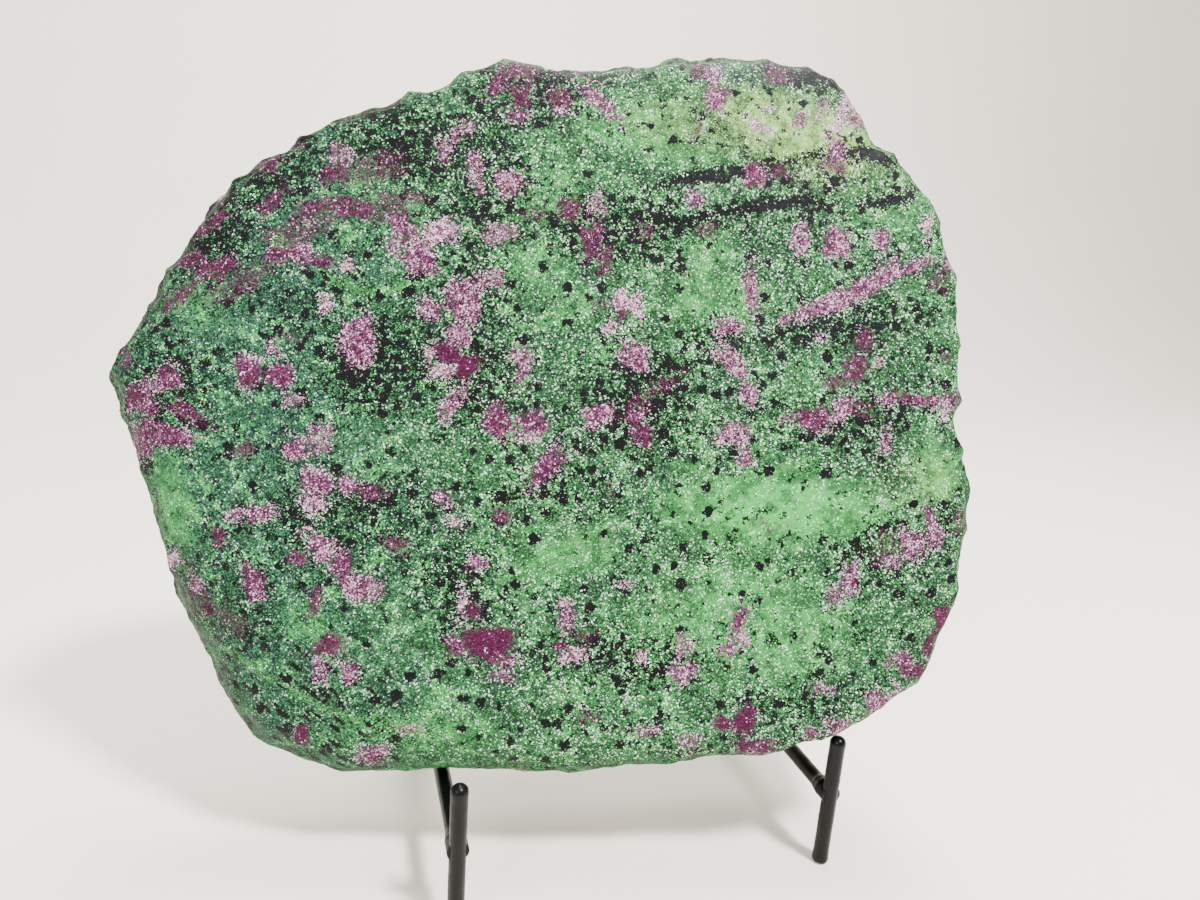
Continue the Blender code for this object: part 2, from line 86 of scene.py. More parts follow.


# Ruby on the face, read one by one: u, v, width, height in mm, and turn in degrees where it has one
RUBY: dict[Tint, tuple[tuple[float, ...], ...]] = {
    Tint.DEEP: (
        (-64, 164, 9, 8), (-71, 168, 10, 7, -20), (-3, 188, 4, 3.5), (-50, 56, 20, 11, 8),
        (-22, 55, 3.5, 3), (-57, 68, 5.5, 5), (54, 17, 6, 4), (54, 28, 7, 11, -20), (45, 26, 6, 5),
        (135, 72, 7, 9), (130, 61, 3.5, 10, -15), (-155, 94, 3, 6, 30), (-120, 18, 5, 6), (127, 49, 4, 5),
        (23, 264, 3, 4), (-90, 213, 4, 4),
    ),
    Tint.MAGENTA: (
        (-138, 203, 9, 6), (-49, 264, 7, 4), (-186, 144, 10, 10), (-175, 131, 16, 8, -4),
        (-185, 129, 9, 12), (-176, 153, 9, 8, 20), (-135, 156, 9, 9), (-31, 126, 7, 18, -45),
        (-51, 143, 11, 11, -25), (-37, 143, 11, 9, 15), (121, 161, 17, 4, -3), (134, 162, 6, 5),
        (-63, 54, 7, 6), (-45, 49, 9, 4), (50, 68, 6, 10, -25), (127, 113, 4, 8), (61, 17, 14, 5, -6),
        (121, 52, 6, 10, 20), (7, 141, 7, 9), (4, 148, 6, 6), (82, 23, 6, 4), (-147, 157, 9, 11),
        (77, 151, 16, 8, 12), (-108, 84, 8, 8), (-141, 76, 7, 12, 12), (47, 247, 9, 9),
    ),
    Tint.PINK: (
        (-130, 204, 10, 6), (-17, 272, 17, 5.5, -38), (-92, 217, 8, 13, 32), (-84, 205, 13, 12, 20),
        (-66, 190, 11, 18), (-68, 176, 9, 9), (-79, 185, 9, 6, -20), (-51, 237, 11, 8, 10),
        (30, 277, 11, 10), (28, 286, 8, 7), (65, 271, 6, 7), (48, 202, 6, 16, 6), (40, 186, 11, 5, 5),
        (67, 223, 8, 10), (82, 223, 9, 13), (41, 172, 15, 6, -38), (49, 159, 6, 8), (44, 143, 13, 8),
        (49, 133, 6, 7), (-127, 128, 10, 7, -40), (-119, 116, 12, 9), (-106, 171, 12, 18, 10),
        (-107, 115, 7, 6), (-71, 112, 6, 5), (89, 156, 10, 8, 20), (-69, 149, 5, 13, -25), (2, 172, 11, 11),
        (-116, 91, 11, 8, -30), (-102, 76, 11, 9, -45), (-103, 43, 6, 8), (-114, 42, 4, 6),
        (109, 36, 10, 8, 30), (94, 26, 9, 6, 10), (28, 46, 9, 8), (46, 57, 6, 8, -25), (95, 86, 7, 12, -20),
        (89, 79, 4, 7), (121, 101, 9, 11), (108, 161, 8, 5), (107, 143, 4, 8), (80, 260, 7, 9, 15),
        (-150, 102, 5, 5), (-140, 103, 9, 7, 10), (-43, 170, 7, 6), (-42, 164, 5, 9), (130, 105, 6, 9),
        (-20, 67, 6, 10, 12), (23, 236, 6, 7), (-93, 11, 9, 6), (14, 22, 7, 4), (87, 273, 8, 5),
        (-115, 45, 6, 5), (101, 225, 6, 8), (-12, 147, 10, 9, 20), (130, 219, 4, 8), (-56, 87, 6, 5),
        (-161, 72, 10, 4, -50),
    ),
    Tint.PALE: (
        (-76, 216, 12, 8, 5), (-73, 162, 9, 6), (84, 278, 7, 9), (132, 158, 4, 7), (-4, 193, 9, 6, -35),
        (2, 192, 5, 8), (48, 267, 8, 5, -15), (-112, 200, 5, 4), (-119, 185, 4, 5), (-78, 168, 4, 3.5),
        (-8, 183, 3.5, 6, -30), (-32, 267, 5, 4), (-38, 138, 8, 4), (-120, 108, 9, 6), (-61, 70, 2.5, 8),
        (-17, 52, 8, 6, 10), (11, 52, 4, 4), (-172, 84, 3.5, 4), (-123, 97, 3.5, 3), (3.5, 80.5, 3.2, 2.4),
        (81, 270, 7, 3.5), (51, 275, 3, 2.5), (52, 60, 5, 5), (-106, 176, 6, 5), (-147, 162, 7, 4),
        (117, 41, 3, 5), (78, 183, 3, 2.5), (103, 175, 2.5, 2.5), (-66, 103, 5, 4), (-138, 166, 4, 3),
        (120, 232, 2.5, 6),
    ),
    Tint.LILAC: (
        (-54, 217, 11, 9), (-116, 243, 8, 9), (-77, 248, 5, 9), (-71, 255, 5, 11, -45),
        (-64, 240, 5, 14, 8), (-56, 199, 9, 8), (-119, 133, 10, 10), (-94, 209, 5, 6), (-130, 147, 5, 5),
        (-96, 75, 8, 8), (-44, 43, 8, 4), (28, 57, 7, 8), (32, 19, 9, 5), (66, 150, 5, 4), (73, 276, 4, 6),
        (112, 96, 9, 10), (-80, 21, 9, 4), (114, 53, 5, 5), (86, 41, 7, 4), (-181, 150, 8, 6),
        (104, 214, 10, 4, 35), (-16, 231, 7, 8),
    ),
    Tint.DARK: (
        (-118, 236, 10, 5, 20), (-141, 223, 11, 4, 50), (-163, 213, 12, 4, 45), (-160, 196, 14, 6, 25),
        (-126, 221, 10, 5, 10), (-142, 238, 6, 8), (-112, 223, 20, 8, -6), (-122, 201, 9, 4),
        (-173, 185, 14, 4, 38), (-170, 198, 10, 4, 15), (-49, 281, 14, 6), (-58, 274, 4, 8, -30),
        (-48, 271, 7, 11), (-33, 272, 8, 8), (22, 288, 9, 4), (54, 288, 10, 5), (-18, 217, 6, 13),
        (-27, 228, 7, 9, 10), (-12, 209, 6, 8), (57, 250, 6, 5), (-168, 140, 14, 4, -22),
        (-192, 160, 3.5, 6), (-98, 113, 9, 5), (-147, 127, 6, 4, 40), (-111, 53, 10, 8), (-88, 93, 8, 5),
        (85, 166, 8, 4), (93, 172, 9, 10), (96, 184, 6, 8), (-125, 86, 6, 5, -35), (80, 254, 9, 5),
        (-118, 69, 4, 8), (-47, 106, 6, 5),
    ),
    Tint.DULL: (
        (-134, 245, 6, 4), (-40, 226, 8, 4), (4, 222, 6, 6), (10, 158, 20, 5, 38), (-14, 191, 6, 4),
        (127, 210, 8, 9), (28, 224, 6, 6), (61, 107, 12, 3, -8), (-128, 214, 34, 9, 32),
        (-150, 192, 26, 7, 40), (-104, 238, 24, 9, 22), (-94, 226, 16, 8), (-158, 68, 16, 6, -45),
        (-147, 60, 9, 6, -35), (-131, 171, 6, 3), (-12, 60, 8, 4), (-9, 27, 8, 4), (-27, 282, 10, 3),
        (141, 112, 5, 9), (96, 156, 10, 6), (110, 99, 12, 11), (-5, 117, 3.5, 5), (131, 178, 4, 4),
        (-100, 270, 10, 4, 30),
    ),
}


# The long ruby band at the right: u, v in mm, then its width
RUBY_BAND = (
    (62, 190, 3), (72, 194, 5), (85, 200, 8), (95, 205, 7), (103, 210, 5), (112, 214, 4), (122, 218, 3),
)

# Black hornblende bands at the top right: u, v in mm, then the width
HORNBLENDE_BANDS = (
    ((2, 238, 2), (9, 240, 4), (20, 244, 6), (33, 246, 6), (46, 249, 6), (57, 252, 4), (70, 257, 4),
     (84, 260, 5), (95, 260, 7), (106, 257, 6)),
    ((14, 226, 3), (26, 229, 5), (40, 233, 6), (55, 236, 7), (68, 239, 6), (80, 238, 4)),
    ((91, 238, 4), (102, 241, 6), (111, 243, 5), (114, 248, 3)),
    ((60, 184, 3), (76, 189, 4), (92, 194, 3), (108, 200, 3)),
)

# Single black crystals: u, v, width and height in mm
HORNBLENDE_SPOTS = (
    (36, 92, 3, 5), (57, 112, 4, 3), (84, 46, 7, 4), (93, 97, 4, 3), (134, 118, 9, 4), (77, 34, 9, 4),
    (95, 227, 7, 3), (68, 34, 8, 4), (104, 92, 8, 6), (-50, 160, 6, 4), (27, 93, 4, 3), (12, 100, 4, 3),
    (-30, 108, 6, 4), (-45, 113, 7, 3), (45, 99, 4, 5), (85, 56, 5, 4), (100, 62, 4, 5), (64, 60, 3, 4),
    (70, 88, 4, 3),
)

# Broad zones of the face: u, v, half width, half height in mm, turn in degrees and amount
PALE_ZONES = (
    (62, 113, 50, 17, 4, 0.95), (64, 268, 44, 15, -8, 0.85), (8, 262, 34, 15, 0, 0.50),
    (52, 66, 58, 26, 0, 0.45), (-28, 232, 26, 12, 0, 0.30), (36, 196, 26, 12, 0, 0.40),
    (130, 130, 12, 15, 0, 0.60), (112, 236, 18, 10, 0, 0.35), (-166, 182, 16, 12, 0, 0.25),
    (-172, 105, 8, 20, 15, 0.50), (-80, 20, 40, 8, 0, 0.40), (-18, 92, 22, 10, 15, 0.45),
    (-118, 60, 16, 8, -35, 0.35), (-38, 205, 16, 9, 0, 0.30), (30, 215, 14, 10, 0, 0.35),
    (-24, 190, 14, 10, 0, 0.30),
)
# Darker zones of the rock; the thin strip at u 72, v 290 along the top right rim is painted shade, where that
# rim faces away from the light
DARK_ZONES = (
    (-88, 250, 38, 18, -15, 0.75), (-6, 222, 38, 17, 0, 0.75), (-97, 163, 28, 24, 0, 0.80),
    (-60, 175, 16, 46, 0, 0.55), (6, 155, 30, 26, 0, 0.70), (84, 188, 44, 8, 14, 0.80),
    (93, 152, 34, 12, 8, 0.65), (112, 98, 22, 18, 0, 0.42), (-64, 78, 22, 20, 0, 0.55),
    (6, 50, 40, 12, 0, 0.60), (-112, 104, 36, 16, 0, 0.50), (-146, 62, 24, 30, -35, 0.35),
    (-108, 26, 44, 14, -20, 0.38), (-166, 210, 20, 20, 45, 0.75), (72, 36, 28, 8, 0, 0.35),
    (-45, 275, 26, 12, 0, 0.60), (-140, 232, 28, 12, 40, 0.65), (-24, 117, 30, 10, 0, 0.40),
    (-175, 150, 20, 22, 0, 0.50), (72, 290, 30, 7, -6, 0.90), (-60, 240, 20, 34, 0, 0.60),
    (-128, 185, 18, 10, 20, 0.45), (36, 178, 20, 10, 0, 0.45), (56, 232, 46, 10, 8, 0.40),
)
# Yellow-green zones; the big one at the top right is partly painted light, the warm light that brightens that
# corner
WARM_ZONES = ((68, 264, 60, 24, -8, 1.0), (20, 268, 30, 14, 0, 0.5), (120, 128, 22, 16, 0, 0.4))

# Shallow chip scars with a fresh pale edge: points u, v in mm, from left to right
LEDGES = (
    ((-48, 80), (-36, 86), (-22, 94), (-10, 101), (-4, 105)),
    ((100, 105), (104, 113), (118, 120), (130, 127), (140, 139)),
    ((58, 92), (60, 80), (66, 62), (72, 50), (80, 47), (92, 51)),
    ((-150, 50), (-130, 37), (-112, 28), (-90, 22), (-70, 21)),
    ((-120, 196), (-104, 190), (-92, 192), (-80, 199)),
    ((20, 130), (40, 124), (58, 127), (78, 134)),
)


def linear(hexcode: str) -> tuple[float, float, float, float]:
    """Turn an sRGB hex colour into linear RGBA.

    Args:
        hexcode: Six hex digits, red first.

    Returns:
        Linear red, green, blue and an alpha of one.
    """
    values = [int(hexcode[i:i + 2], 16) / 255.0 for i in (0, 2, 4)]
    red, green, blue = (v / 12.92 if v <= 0.04045 else ((v + 0.055) / 1.055) ** 2.4 for v in values)
    return red, green, blue, 1.0


def add_node(
    tree: bpy.types.NodeTree, kind: str, inputs: dict[Any, Any] | None = None, **settings: Any,
) -> bpy.types.Node:
    """Add a node with its settings, and set or link its inputs.

    Args:
        tree: The node tree.
        kind: Blender's name for the node type.
        inputs: Input name or index, to a value or to an output socket to link.
        settings: Properties of the node.

    Returns:
        The new node.
    """
    made = tree.nodes.new(kind)
    for name, value in settings.items():
        setattr(made, name, value)
    for key, value in (inputs or {}).items():
        if isinstance(value, bpy.types.NodeSocket):
            tree.links.new(value, made.inputs[key])
        else:
            made.inputs[key].default_value = value
    return made


def new_material(name: str) -> tuple[bpy.types.Material, bpy.types.NodeTree, bpy.types.Node]:
    """Make a node material.

    Args:
        name: The material's name.

    Returns:
        The material, its tree and its Principled shader.
    """
    material = bpy.data.materials.new(name)
    material.use_nodes = True
    tree = material.node_tree
    return material, tree, tree.nodes["Principled BSDF"]


def smooth_step(values: np.ndarray, low: float, high: float) -> np.ndarray:
    """Ease values from 0 at low to 1 at high."""
    share = np.clip((values - low) / (high - low), 0.0, 1.0)
    return share * share * (3.0 - 2.0 * share)


@dataclass(frozen=True)
class Sheet:
    """Points by two coordinates in mm, and how deep they lie inside shapes drawn on the sheet."""

    u: np.ndarray
    v: np.ndarray

    def turned(self, centre: Sequence[float], degrees: float) -> tuple[np.ndarray, np.ndarray]:
        """Measure along and across a mark that is turned about its centre.

        Args:
            centre: The mark's centre.
            degrees: Its turn.

        Returns:
            Distances along and across the mark.
        """
        cos, sin = math.cos(math.radians(degrees)), math.sin(math.radians(degrees))
        right, up = self.u - centre[0], self.v - centre[1]
        return right * cos + up * sin, up * cos - right * sin

    def beside(self, start: Sequence[float], end: Sequence[float]) -> tuple[np.ndarray, np.ndarray]:
        """Find the nearest place on a straight line.

        Args:
            start: The line's first end.
            end: Its other end.

        Returns:
            Shares of the line's length from 0 to 1, and distances.
        """
        step_u, step_v = end[0] - start[0], end[1] - start[1]
        right, up = self.u - start[0], self.v - start[1]
        share = np.clip((right * step_u + up * step_v) / (step_u**2 + step_v**2), 0.0, 1.0)
        return share, np.hypot(right - share * step_u, up - share * step_v)

    def strips(self, strips: Iterable[Sequence[Sequence[float]]]) -> np.ndarray:
        """Measure the depth in mm inside strips.

        Args:
            strips: Strips, each given by points of u, v and width.

        Returns:
            Depth, negative outside.
        """
        best = np.full(len(self.u), OUTSIDE)
        for strip in strips:
            for start, end in zip(strip, strip[1:]):
                share, away = self.beside(start, end)
                best = np.maximum(best, (start[2] + (end[2] - start[2]) * share) / 2.0 - away)
        return best

    def spots(self, marks: Iterable[Sequence[float]]) -> np.ndarray:
        """Measure the depth in mm inside oval spots.

        Args:
            marks: Centre u and v, width and height of each spot.

        Returns:
            Depth, negative outside.
        """
        best = np.full(len(self.u), OUTSIDE)
        for u, v, width, height in marks:
            reach = np.hypot((self.u - u) / (width / 2.0), (self.v - v) / (height / 2.0))
            best = np.maximum(best, (1.0 - reach) * min(width, height) / 2.0)
        return best

    def zones(self, zones: Iterable[Sequence[float]]) -> np.ndarray:
        """Join soft zones, each an amount that fades from its centre.

        Args:
            zones: Centre u and v, half width, half height, turn and amount of each zone.

        Returns:
            The greatest amount at each point, from 0 to 1.
        """
        total = np.zeros(len(self.u))
        for *centre, half_width, half_height, turn, amount in zones:
            along, across = self.turned(centre, turn)
            reach = np.hypot(along / half_width, across / half_height)
            total = np.maximum(total, amount * (1.0 - smooth_step(reach, 0.35, 1.25)))
        return total


@dataclass(frozen=True)
class SlabPlace:
    """The slab's own axes: u across its face, v up it and n out of it, in mm from its foot.

    The foot is placed from the middle of the two front posts. Marks were read on the plane
    n = 0 from one viewpoint, so read_sheet moves a surface point along its line of sight.
    """

    foot: Vector = field(default_factory=lambda: Vector((-14.0, 19.0, 35.5)))
    turn: float = math.radians(13.0)
    lean: float = math.radians(14.5)
    eye: Vector = field(default_factory=lambda: Vector((-39.0, 134.0, 338.0)))

    def stand_origin(self) -> Vector:
        """Find the point on the floor midway between the two front posts.

        Returns:
            The point in metres.
        """
        left = sum(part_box("front_post_left"), Vector()) / 2.0
        right = sum(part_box("front_post_right"), Vector()) / 2.0
        middle = (left + right) / 2.0
        return Vector((middle.x, middle.y, 0.0))

    def matrix(self) -> Matrix:
        """Place the slab's axes.

        Returns:
            Matrix from slab millimetres to metres in the row frame.
        """
        turn = Matrix.Rotation(-self.turn, 4, "Z")
        lean = Matrix.Rotation(math.pi / 2.0 - self.lean, 4, "X")
        foot = self.stand_origin() + self.foot * MM
        return Matrix.Translation(foot) @ turn @ lean @ Matrix.Scale(MM, 4)

    def to_slab(self, points: np.ndarray) -> np.ndarray:
        """Row frame points in metres, as slab millimetres."""
        matrix = np.array(self.matrix().inverted())
        return points @ matrix[:3, :3].T + matrix[:3, 3]

    def read_sheet(self, slab: np.ndarray) -> Sheet:
        """Move points along their lines of sight to the reading plane.

        Args:
            slab: Points in slab millimetres.

        Returns:
            The points on the plane.
        """
        scale = self.eye.z / (self.eye.z - slab[:, 2])
        u = self.eye.x + (slab[:, 0] - self.eye.x) * scale
        v = self.eye.y + (slab[:, 1] - self.eye.y) * scale
        return Sheet(u, v)

    def facing(self, slab: np.ndarray, normals: np.ndarray) -> np.ndarray:
        """Find how much each point of the surface faces the viewpoint.

        Args:
            slab: Points in slab millimetres.
            normals: Their normals in slab axes.

        Returns:
            Cosines from -1 to 1.
        """
        sight = np.array(self.eye) - slab
        sight /= np.linalg.norm(sight, axis=1, keepdims=True)
        return np.einsum("ij,ij->i", sight, normals)


@dataclass(frozen=True)
class ZoisiteFinish:
    """Broken ruby in zoisite: a sugary rock of glassy grains about a millimetre across.

    Zoisite gives the green, with near-white grains painted in the colour as glints of light off its cleavage
    faces (painted highlights); hornblende gives the black grains, with slate grains painted in as their
    sheen, and ruby the magenta to pale pink ones. Broken faces are dull overall with small glossy grains.
    Sizes are in mm. Grains finer than half a millimetre are too fine to show in the render, so
    the grain is drawn that coarse.
    """

    green: str = "23402e"
    bright_green: str = "2d6038"
    teal_green: str = "254641"
    pale_green: str = "43a04b"
    yellow_green: str = "82ad5a"
    # Near-white: painted glints of light off cleavage faces, and real white grains in the ruby halos and in
    # the black
    glint: str = "dff1e0"
    shade_green: str = "15271e"
    deep_green: str = "030e09"
    black: str = "010203"
    # Slate: lighter grains in the black that paint in the sheen on hornblende, a painted highlight
    slate_sheen: str = "0b1314"
    ruby_deep: str = "41042b"
    ruby: str = "4b133c"
    ruby_pink: str = "6f3a60"
    ruby_pale: str = "a3788f"
    ruby_white: str = "ddccd4"
    grain: float = 0.48
    clump: float = 3.2
    crumb: float = 1.9
    crystal: float = 7.6
    lens: float = 3.3
    patch: float = 6.0
    drift: float = 34.0
    noise_roughness: float = 0.6
    foliation_turn: float = math.radians(-35.0)
    foliation: tuple[float, float, float] = (2.9, 1.0, 1.6)
    grain_mix: float = 0.45
    dark_grains: float = 0.30
    glint_start: float = 1.05
    ink_level: float = 0.61
    spot_size: float = 0.19
    spots_wanted: float = 0.78
    roughness: float = 0.56
    ior: float = 1.69
    sheen: float = 0.07
    bump_strength: float = 0.55
    bump_height: float = 0.55

    def green_steps(self) -> tuple[tuple[Any, ...], ...]:
        """List the steps for the green body.

        Returns:
            Steps from the noises to the colour of the green with its grains and painted glints.
        """
        return (
            # Swings of the noises about their middle, and the chance that sets each grain apart
            ("fine_swing", "SUBTRACT", "fine", 0.5),
            ("other_swing", "SUBTRACT", "fine_other", 0.5),
            ("coarse_swing", "SUBTRACT", "coarse", 0.5),
            ("clump_swing", "SUBTRACT", "clump", 0.5),
            ("chance", "MULTIPLY_ADD", "fine_swing", self.grain_mix, "grain_pick"),
            ("chance_swing", "SUBTRACT", "chance", 0.5),
            # Drifts and patches of green, and fresh edges of chips
            ("pale_colour", "MIX", "warm", self.pale_green, self.yellow_green),
            ("green", "MIX", ("drift", 0.42, 0.62), self.green, self.bright_green),
            ("share", "MULTIPLY", "teal", 0.8),
            ("green", "MIX", "share", "green", self.teal_green),
            ("share", "MULTIPLY", "pale", 0.95),
            ("green", "MIX", "share", "green", "pale_colour"),
            ("green", "MIX", ("patch", 0.52, 0.40, 0.60), "green", self.shade_green),
            ("green", "MIX", ("patch", 0.54, 0.68, 0.65), "green", "pale_colour"),
            ("share", "MULTIPLY", "fresh", 0.6),
            ("green", "MIX", "share", "green", "pale_colour"),
            # Dark grains, more of them in the dark zones, which hold painted shade on the sides and along the
            # top right rim, then lighter ones
            ("gloom", "MULTIPLY_ADD", "dark", 0.36, self.dark_grains),
            ("gloom", "MULTIPLY_ADD", "pale", -0.34, "gloom"),
            ("gloom", "MULTIPLY_ADD", "teal", 0.08, "gloom"),
            ("gloom_end", "SUBTRACT", "gloom", 0.14),
            ("most", "MULTIPLY_ADD", "dark", 0.20, 0.80),
            ("green", "MIX", ("chance", "gloom", "gloom_end", "most"), "green", self.deep_green),
            ("most", "MULTIPLY_ADD", "teal", -0.22, 0.55),
            ("green", "MIX", ("chance", 0.62, 0.88, "most"), "green", "pale_colour"),
            # Painted glints: near-white grains that stand in for light flashing off cleavage faces, fewer on
            # the edges and in the teal and pale zones
            ("light_zones", "ADD", "teal", "pale"),
            ("glint", "MULTIPLY_ADD", "patch", -0.30, self.glint_start),
            ("glint", "MULTIPLY_ADD", "light_zones", 0.05, "glint"),
            ("glint", "MULTIPLY_ADD", "edge", 0.12, "glint"),
            ("glint_end", "ADD", "glint", 0.08),
            ("green", "MIX", ("chance", "glint", "glint_end", 0.95), "green", self.glint),
        )

    def black_steps(self) -> tuple[tuple[Any, ...], ...]:
        """List the steps for hornblende.

        Returns:
            Steps that lay its clumps, spots, lenses and marked crystals over the green.
        """
        return (
            # Black with slate grains painted in as the sheen on hornblende, painted highlights, and a few
            # white flecks
            ("black", "MIX", ("fine_other", 0.50, 0.66, 0.75), self.black, self.slate_sheen),
            ("black", "MIX", ("chance", 0.97, 1.05, 0.35), "black", self.glint),
            # Inky clumps, drawn out where the rock is folded
            ("drift_swing", "SUBTRACT", "drift_other", 0.5),
            ("ink", "MULTIPLY_ADD", "drift_swing", 0.9, "dark"),
            ("ink", "MULTIPLY_ADD", "pale", -0.25, "ink"),
            ("level", "MULTIPLY_ADD", "ink", -0.18, self.ink_level),
            ("level", "MULTIPLY_ADD", "fold", 0.06, "level"),
            ("level_end", "ADD", "level", 0.03),
            ("inky", "MIX", "fold", "clump", "clump_stretched"),
            ("inky", "MULTIPLY_ADD", "chance_swing", -0.11, "inky"),
            ("stone", "MIX", ("inky", "level", "level_end"), "green", "black"),
            # Round spots of two or three millimetres
            ("spot", "MULTIPLY_ADD", "spot_hue", 0.16, self.spot_size),
            ("spot_end", "SUBTRACT", "spot", 0.05),
            ("away", "MULTIPLY_ADD", "coarse_swing", 0.60, "spot_distance"),
            ("away", "MULTIPLY_ADD", "chance_swing", 0.05, "away"),
            ("wanted", "MULTIPLY_ADD", "ink", 0.25, self.spots_wanted),
            ("wanted", "MULTIPLY_ADD", "pale", -0.45, "wanted"),
            ("wanted", "GREATER_THAN", "wanted", "spot_pick"),
            ("stone", "MIX", ("away", "spot", "spot_end", "wanted"), "stone", "black"),
            # Lenses of the folded corner, then the marked bands and crystals
            ("away", "MULTIPLY_ADD", "coarse_swing", 0.5, "lens_distance"),
            ("wanted", "GREATER_THAN", "lens_pick", 0.3),
            ("wanted", "MULTIPLY", "wanted", "fold"),
            ("stone", "MIX", ("away", 0.36, 0.28, "wanted"), "stone", "black"),
            ("inset", "MULTIPLY_ADD", "clump_swing", 8.0, "hornblende"),
            ("inset", "MULTIPLY_ADD", "chance_swing", -4.0, "inset"),
            ("stone", "MIX", ("inset", -0.9, 0.3), "stone", "black"),
        )

    def ruby_steps(self) -> tuple[tuple[Any, ...], ...]:
        """List the steps for ruby, and for the surface's gloss and height.

        Returns:
            Steps that lay ruby over the rest.
        """
        return (
            # Ragged inset of each mark, and its pale halo
            ("inset", "MULTIPLY_ADD", "clump_swing", 6.0, "ruby"),
            ("inset", "MULTIPLY_ADD", "other_swing", 4.5, "inset"),
            ("inset", "MULTIPLY_ADD", "chance_swing", 2.6, "inset"),
            ("halo", "MULTIPLY", ("inset", -1.4, -0.3), ("clump_stretched", 0.48, 0.62)),
            ("halo", "MULTIPLY", "halo", ("cover", 0.66, 0.82)),
            ("halo", "MULTIPLY", "halo", ("chance", 0.45, 0.75, 0.55)),
            ("stone", "MIX", "halo", "stone", self.glint),
            # Four tones, black flecks and sugary white ones
            ("hue_swing", "SUBTRACT", "grain_hue", 0.5),
            ("tone", "MULTIPLY_ADD", "clump_swing", 1.5, "tone"),
            ("tone", "MULTIPLY_ADD", "hue_swing", 0.80, "tone"),
            ("gem", "MIX", ("tone", 0.05, 0.34), self.ruby_deep, self.ruby),
            ("gem", "MIX", ("tone", 0.36, 0.66), "gem", self.ruby_pink),
            ("gem", "MIX", ("tone", 0.70, 0.92), "gem", self.ruby_pale),
            ("gem", "MIX", ("chance", 0.30, 0.16, 0.85), "gem", self.black),
            ("sugar", "MULTIPLY_ADD", "tone", -0.30, 1.03),
            ("sugar_end", "ADD", "sugar", 0.10),
            ("gem", "MIX", ("chance", "sugar", "sugar_end", 0.85), "gem", self.ruby_white),
            # Where the ruby shows, by its mark's share of the grains
            ("share", "MULTIPLY_ADD", "fine_swing", 2.4, "cover"),
            ("share", "MULTIPLY", ("inset", -0.25, 0.25), ("share", 0.42, 0.60)),
            ("stone", "MIX", "share", "stone", "gem"),
            # Some grains glossy and some dull, all slightly raised
            ("gloss", "MULTIPLY_ADD", "other_swing", -0.8, self.roughness),
            ("height", "MULTIPLY", "coarse", 0.8),
            ("height", "MULTIPLY_ADD", "fine", 0.7, "height"),
        )

    def material(self, place: SlabPlace) -> bpy.types.Material:
        """Build the rock's material.

        Args:
            place: The slab's axes, in which the pattern lies.

        Returns:
            The material.
        """
        # Broken face of a coarse rock: many small grains of even size, mostly dull, some that flash
        material, tree, shader = new_material("ruby_in_zoisite_broken")
        location, rotation, scale = place.matrix().inverted().decompose()
        coordinates = add_node(tree, "ShaderNodeTexCoord").outputs["Object"]
        slab = add_node(
            tree, "ShaderNodeMapping",
            {"Vector": coordinates, "Location": location, "Rotation": rotation.to_euler(), "Scale": scale},
        ).outputs["Vector"]
        foliated = add_node(
            tree, "ShaderNodeMapping",
            {"Vector": slab, "Rotation": (0.0, 0.0, self.foliation_turn), "Scale": self.foliation},
            vector_type="TEXTURE",
        ).outputs["Vector"]
        shifted, moved = (
            add_node(tree, "ShaderNodeMapping", {"Vector": slab, "Location": shift}).outputs["Vector"]
            for shift in ((71.0, 33.0, 9.0), (-53.0, 17.0, 40.0))
        )

        # Each part of the pattern by name: the mesh's attributes, then noises and cells by size in mm
        parts: dict[Any, Any] = {}
        for name in (
            "pale", "dark", "teal", "warm", "fold", "fresh", "edge", "hornblende", "ruby", "cover", "tone",
        ):
            parts[name] = add_node(tree, "ShaderNodeAttribute", attribute_name=name).outputs["Fac"]
        for name, size, detail, vector in (
            ("fine", self.grain, 2.0, slab),
            ("fine_other", self.grain * 0.9, 1.0, shifted),
            ("coarse", self.crumb, 2.0, moved),
            ("clump", self.clump, 3.0, shifted),
            ("clump_stretched", self.clump * 0.9, 2.0, foliated),
            ("drift", self.drift, 1.0, slab),
            ("drift_other", self.drift * 0.7, 2.0, moved),
            ("patch", self.patch, 2.0, moved),
        ):
            parts[name] = add_node(
                tree, "ShaderNodeTexNoise",
                {"Vector": vector, "Scale": 1.0 / size, "Detail": detail, "Roughness": self.noise_roughness},
            ).outputs["Fac"]
        for name, size, vector in (
            ("grain", self.grain, slab), ("spot", self.crystal, slab), ("lens", self.lens, foliated),
        ):
            cells = add_node(tree, "ShaderNodeTexVoronoi", {"Vector": vector, "Scale": 1.0 / size})
            colour = add_node(tree, "ShaderNodeSeparateColor", {"Color": cells.outputs["Color"]})
            parts[f"{name}_distance"] = cells.outputs["Distance"]
            parts[f"{name}_pick"] = colour.outputs[0]
            parts[f"{name}_hue"] = colour.outputs[1]

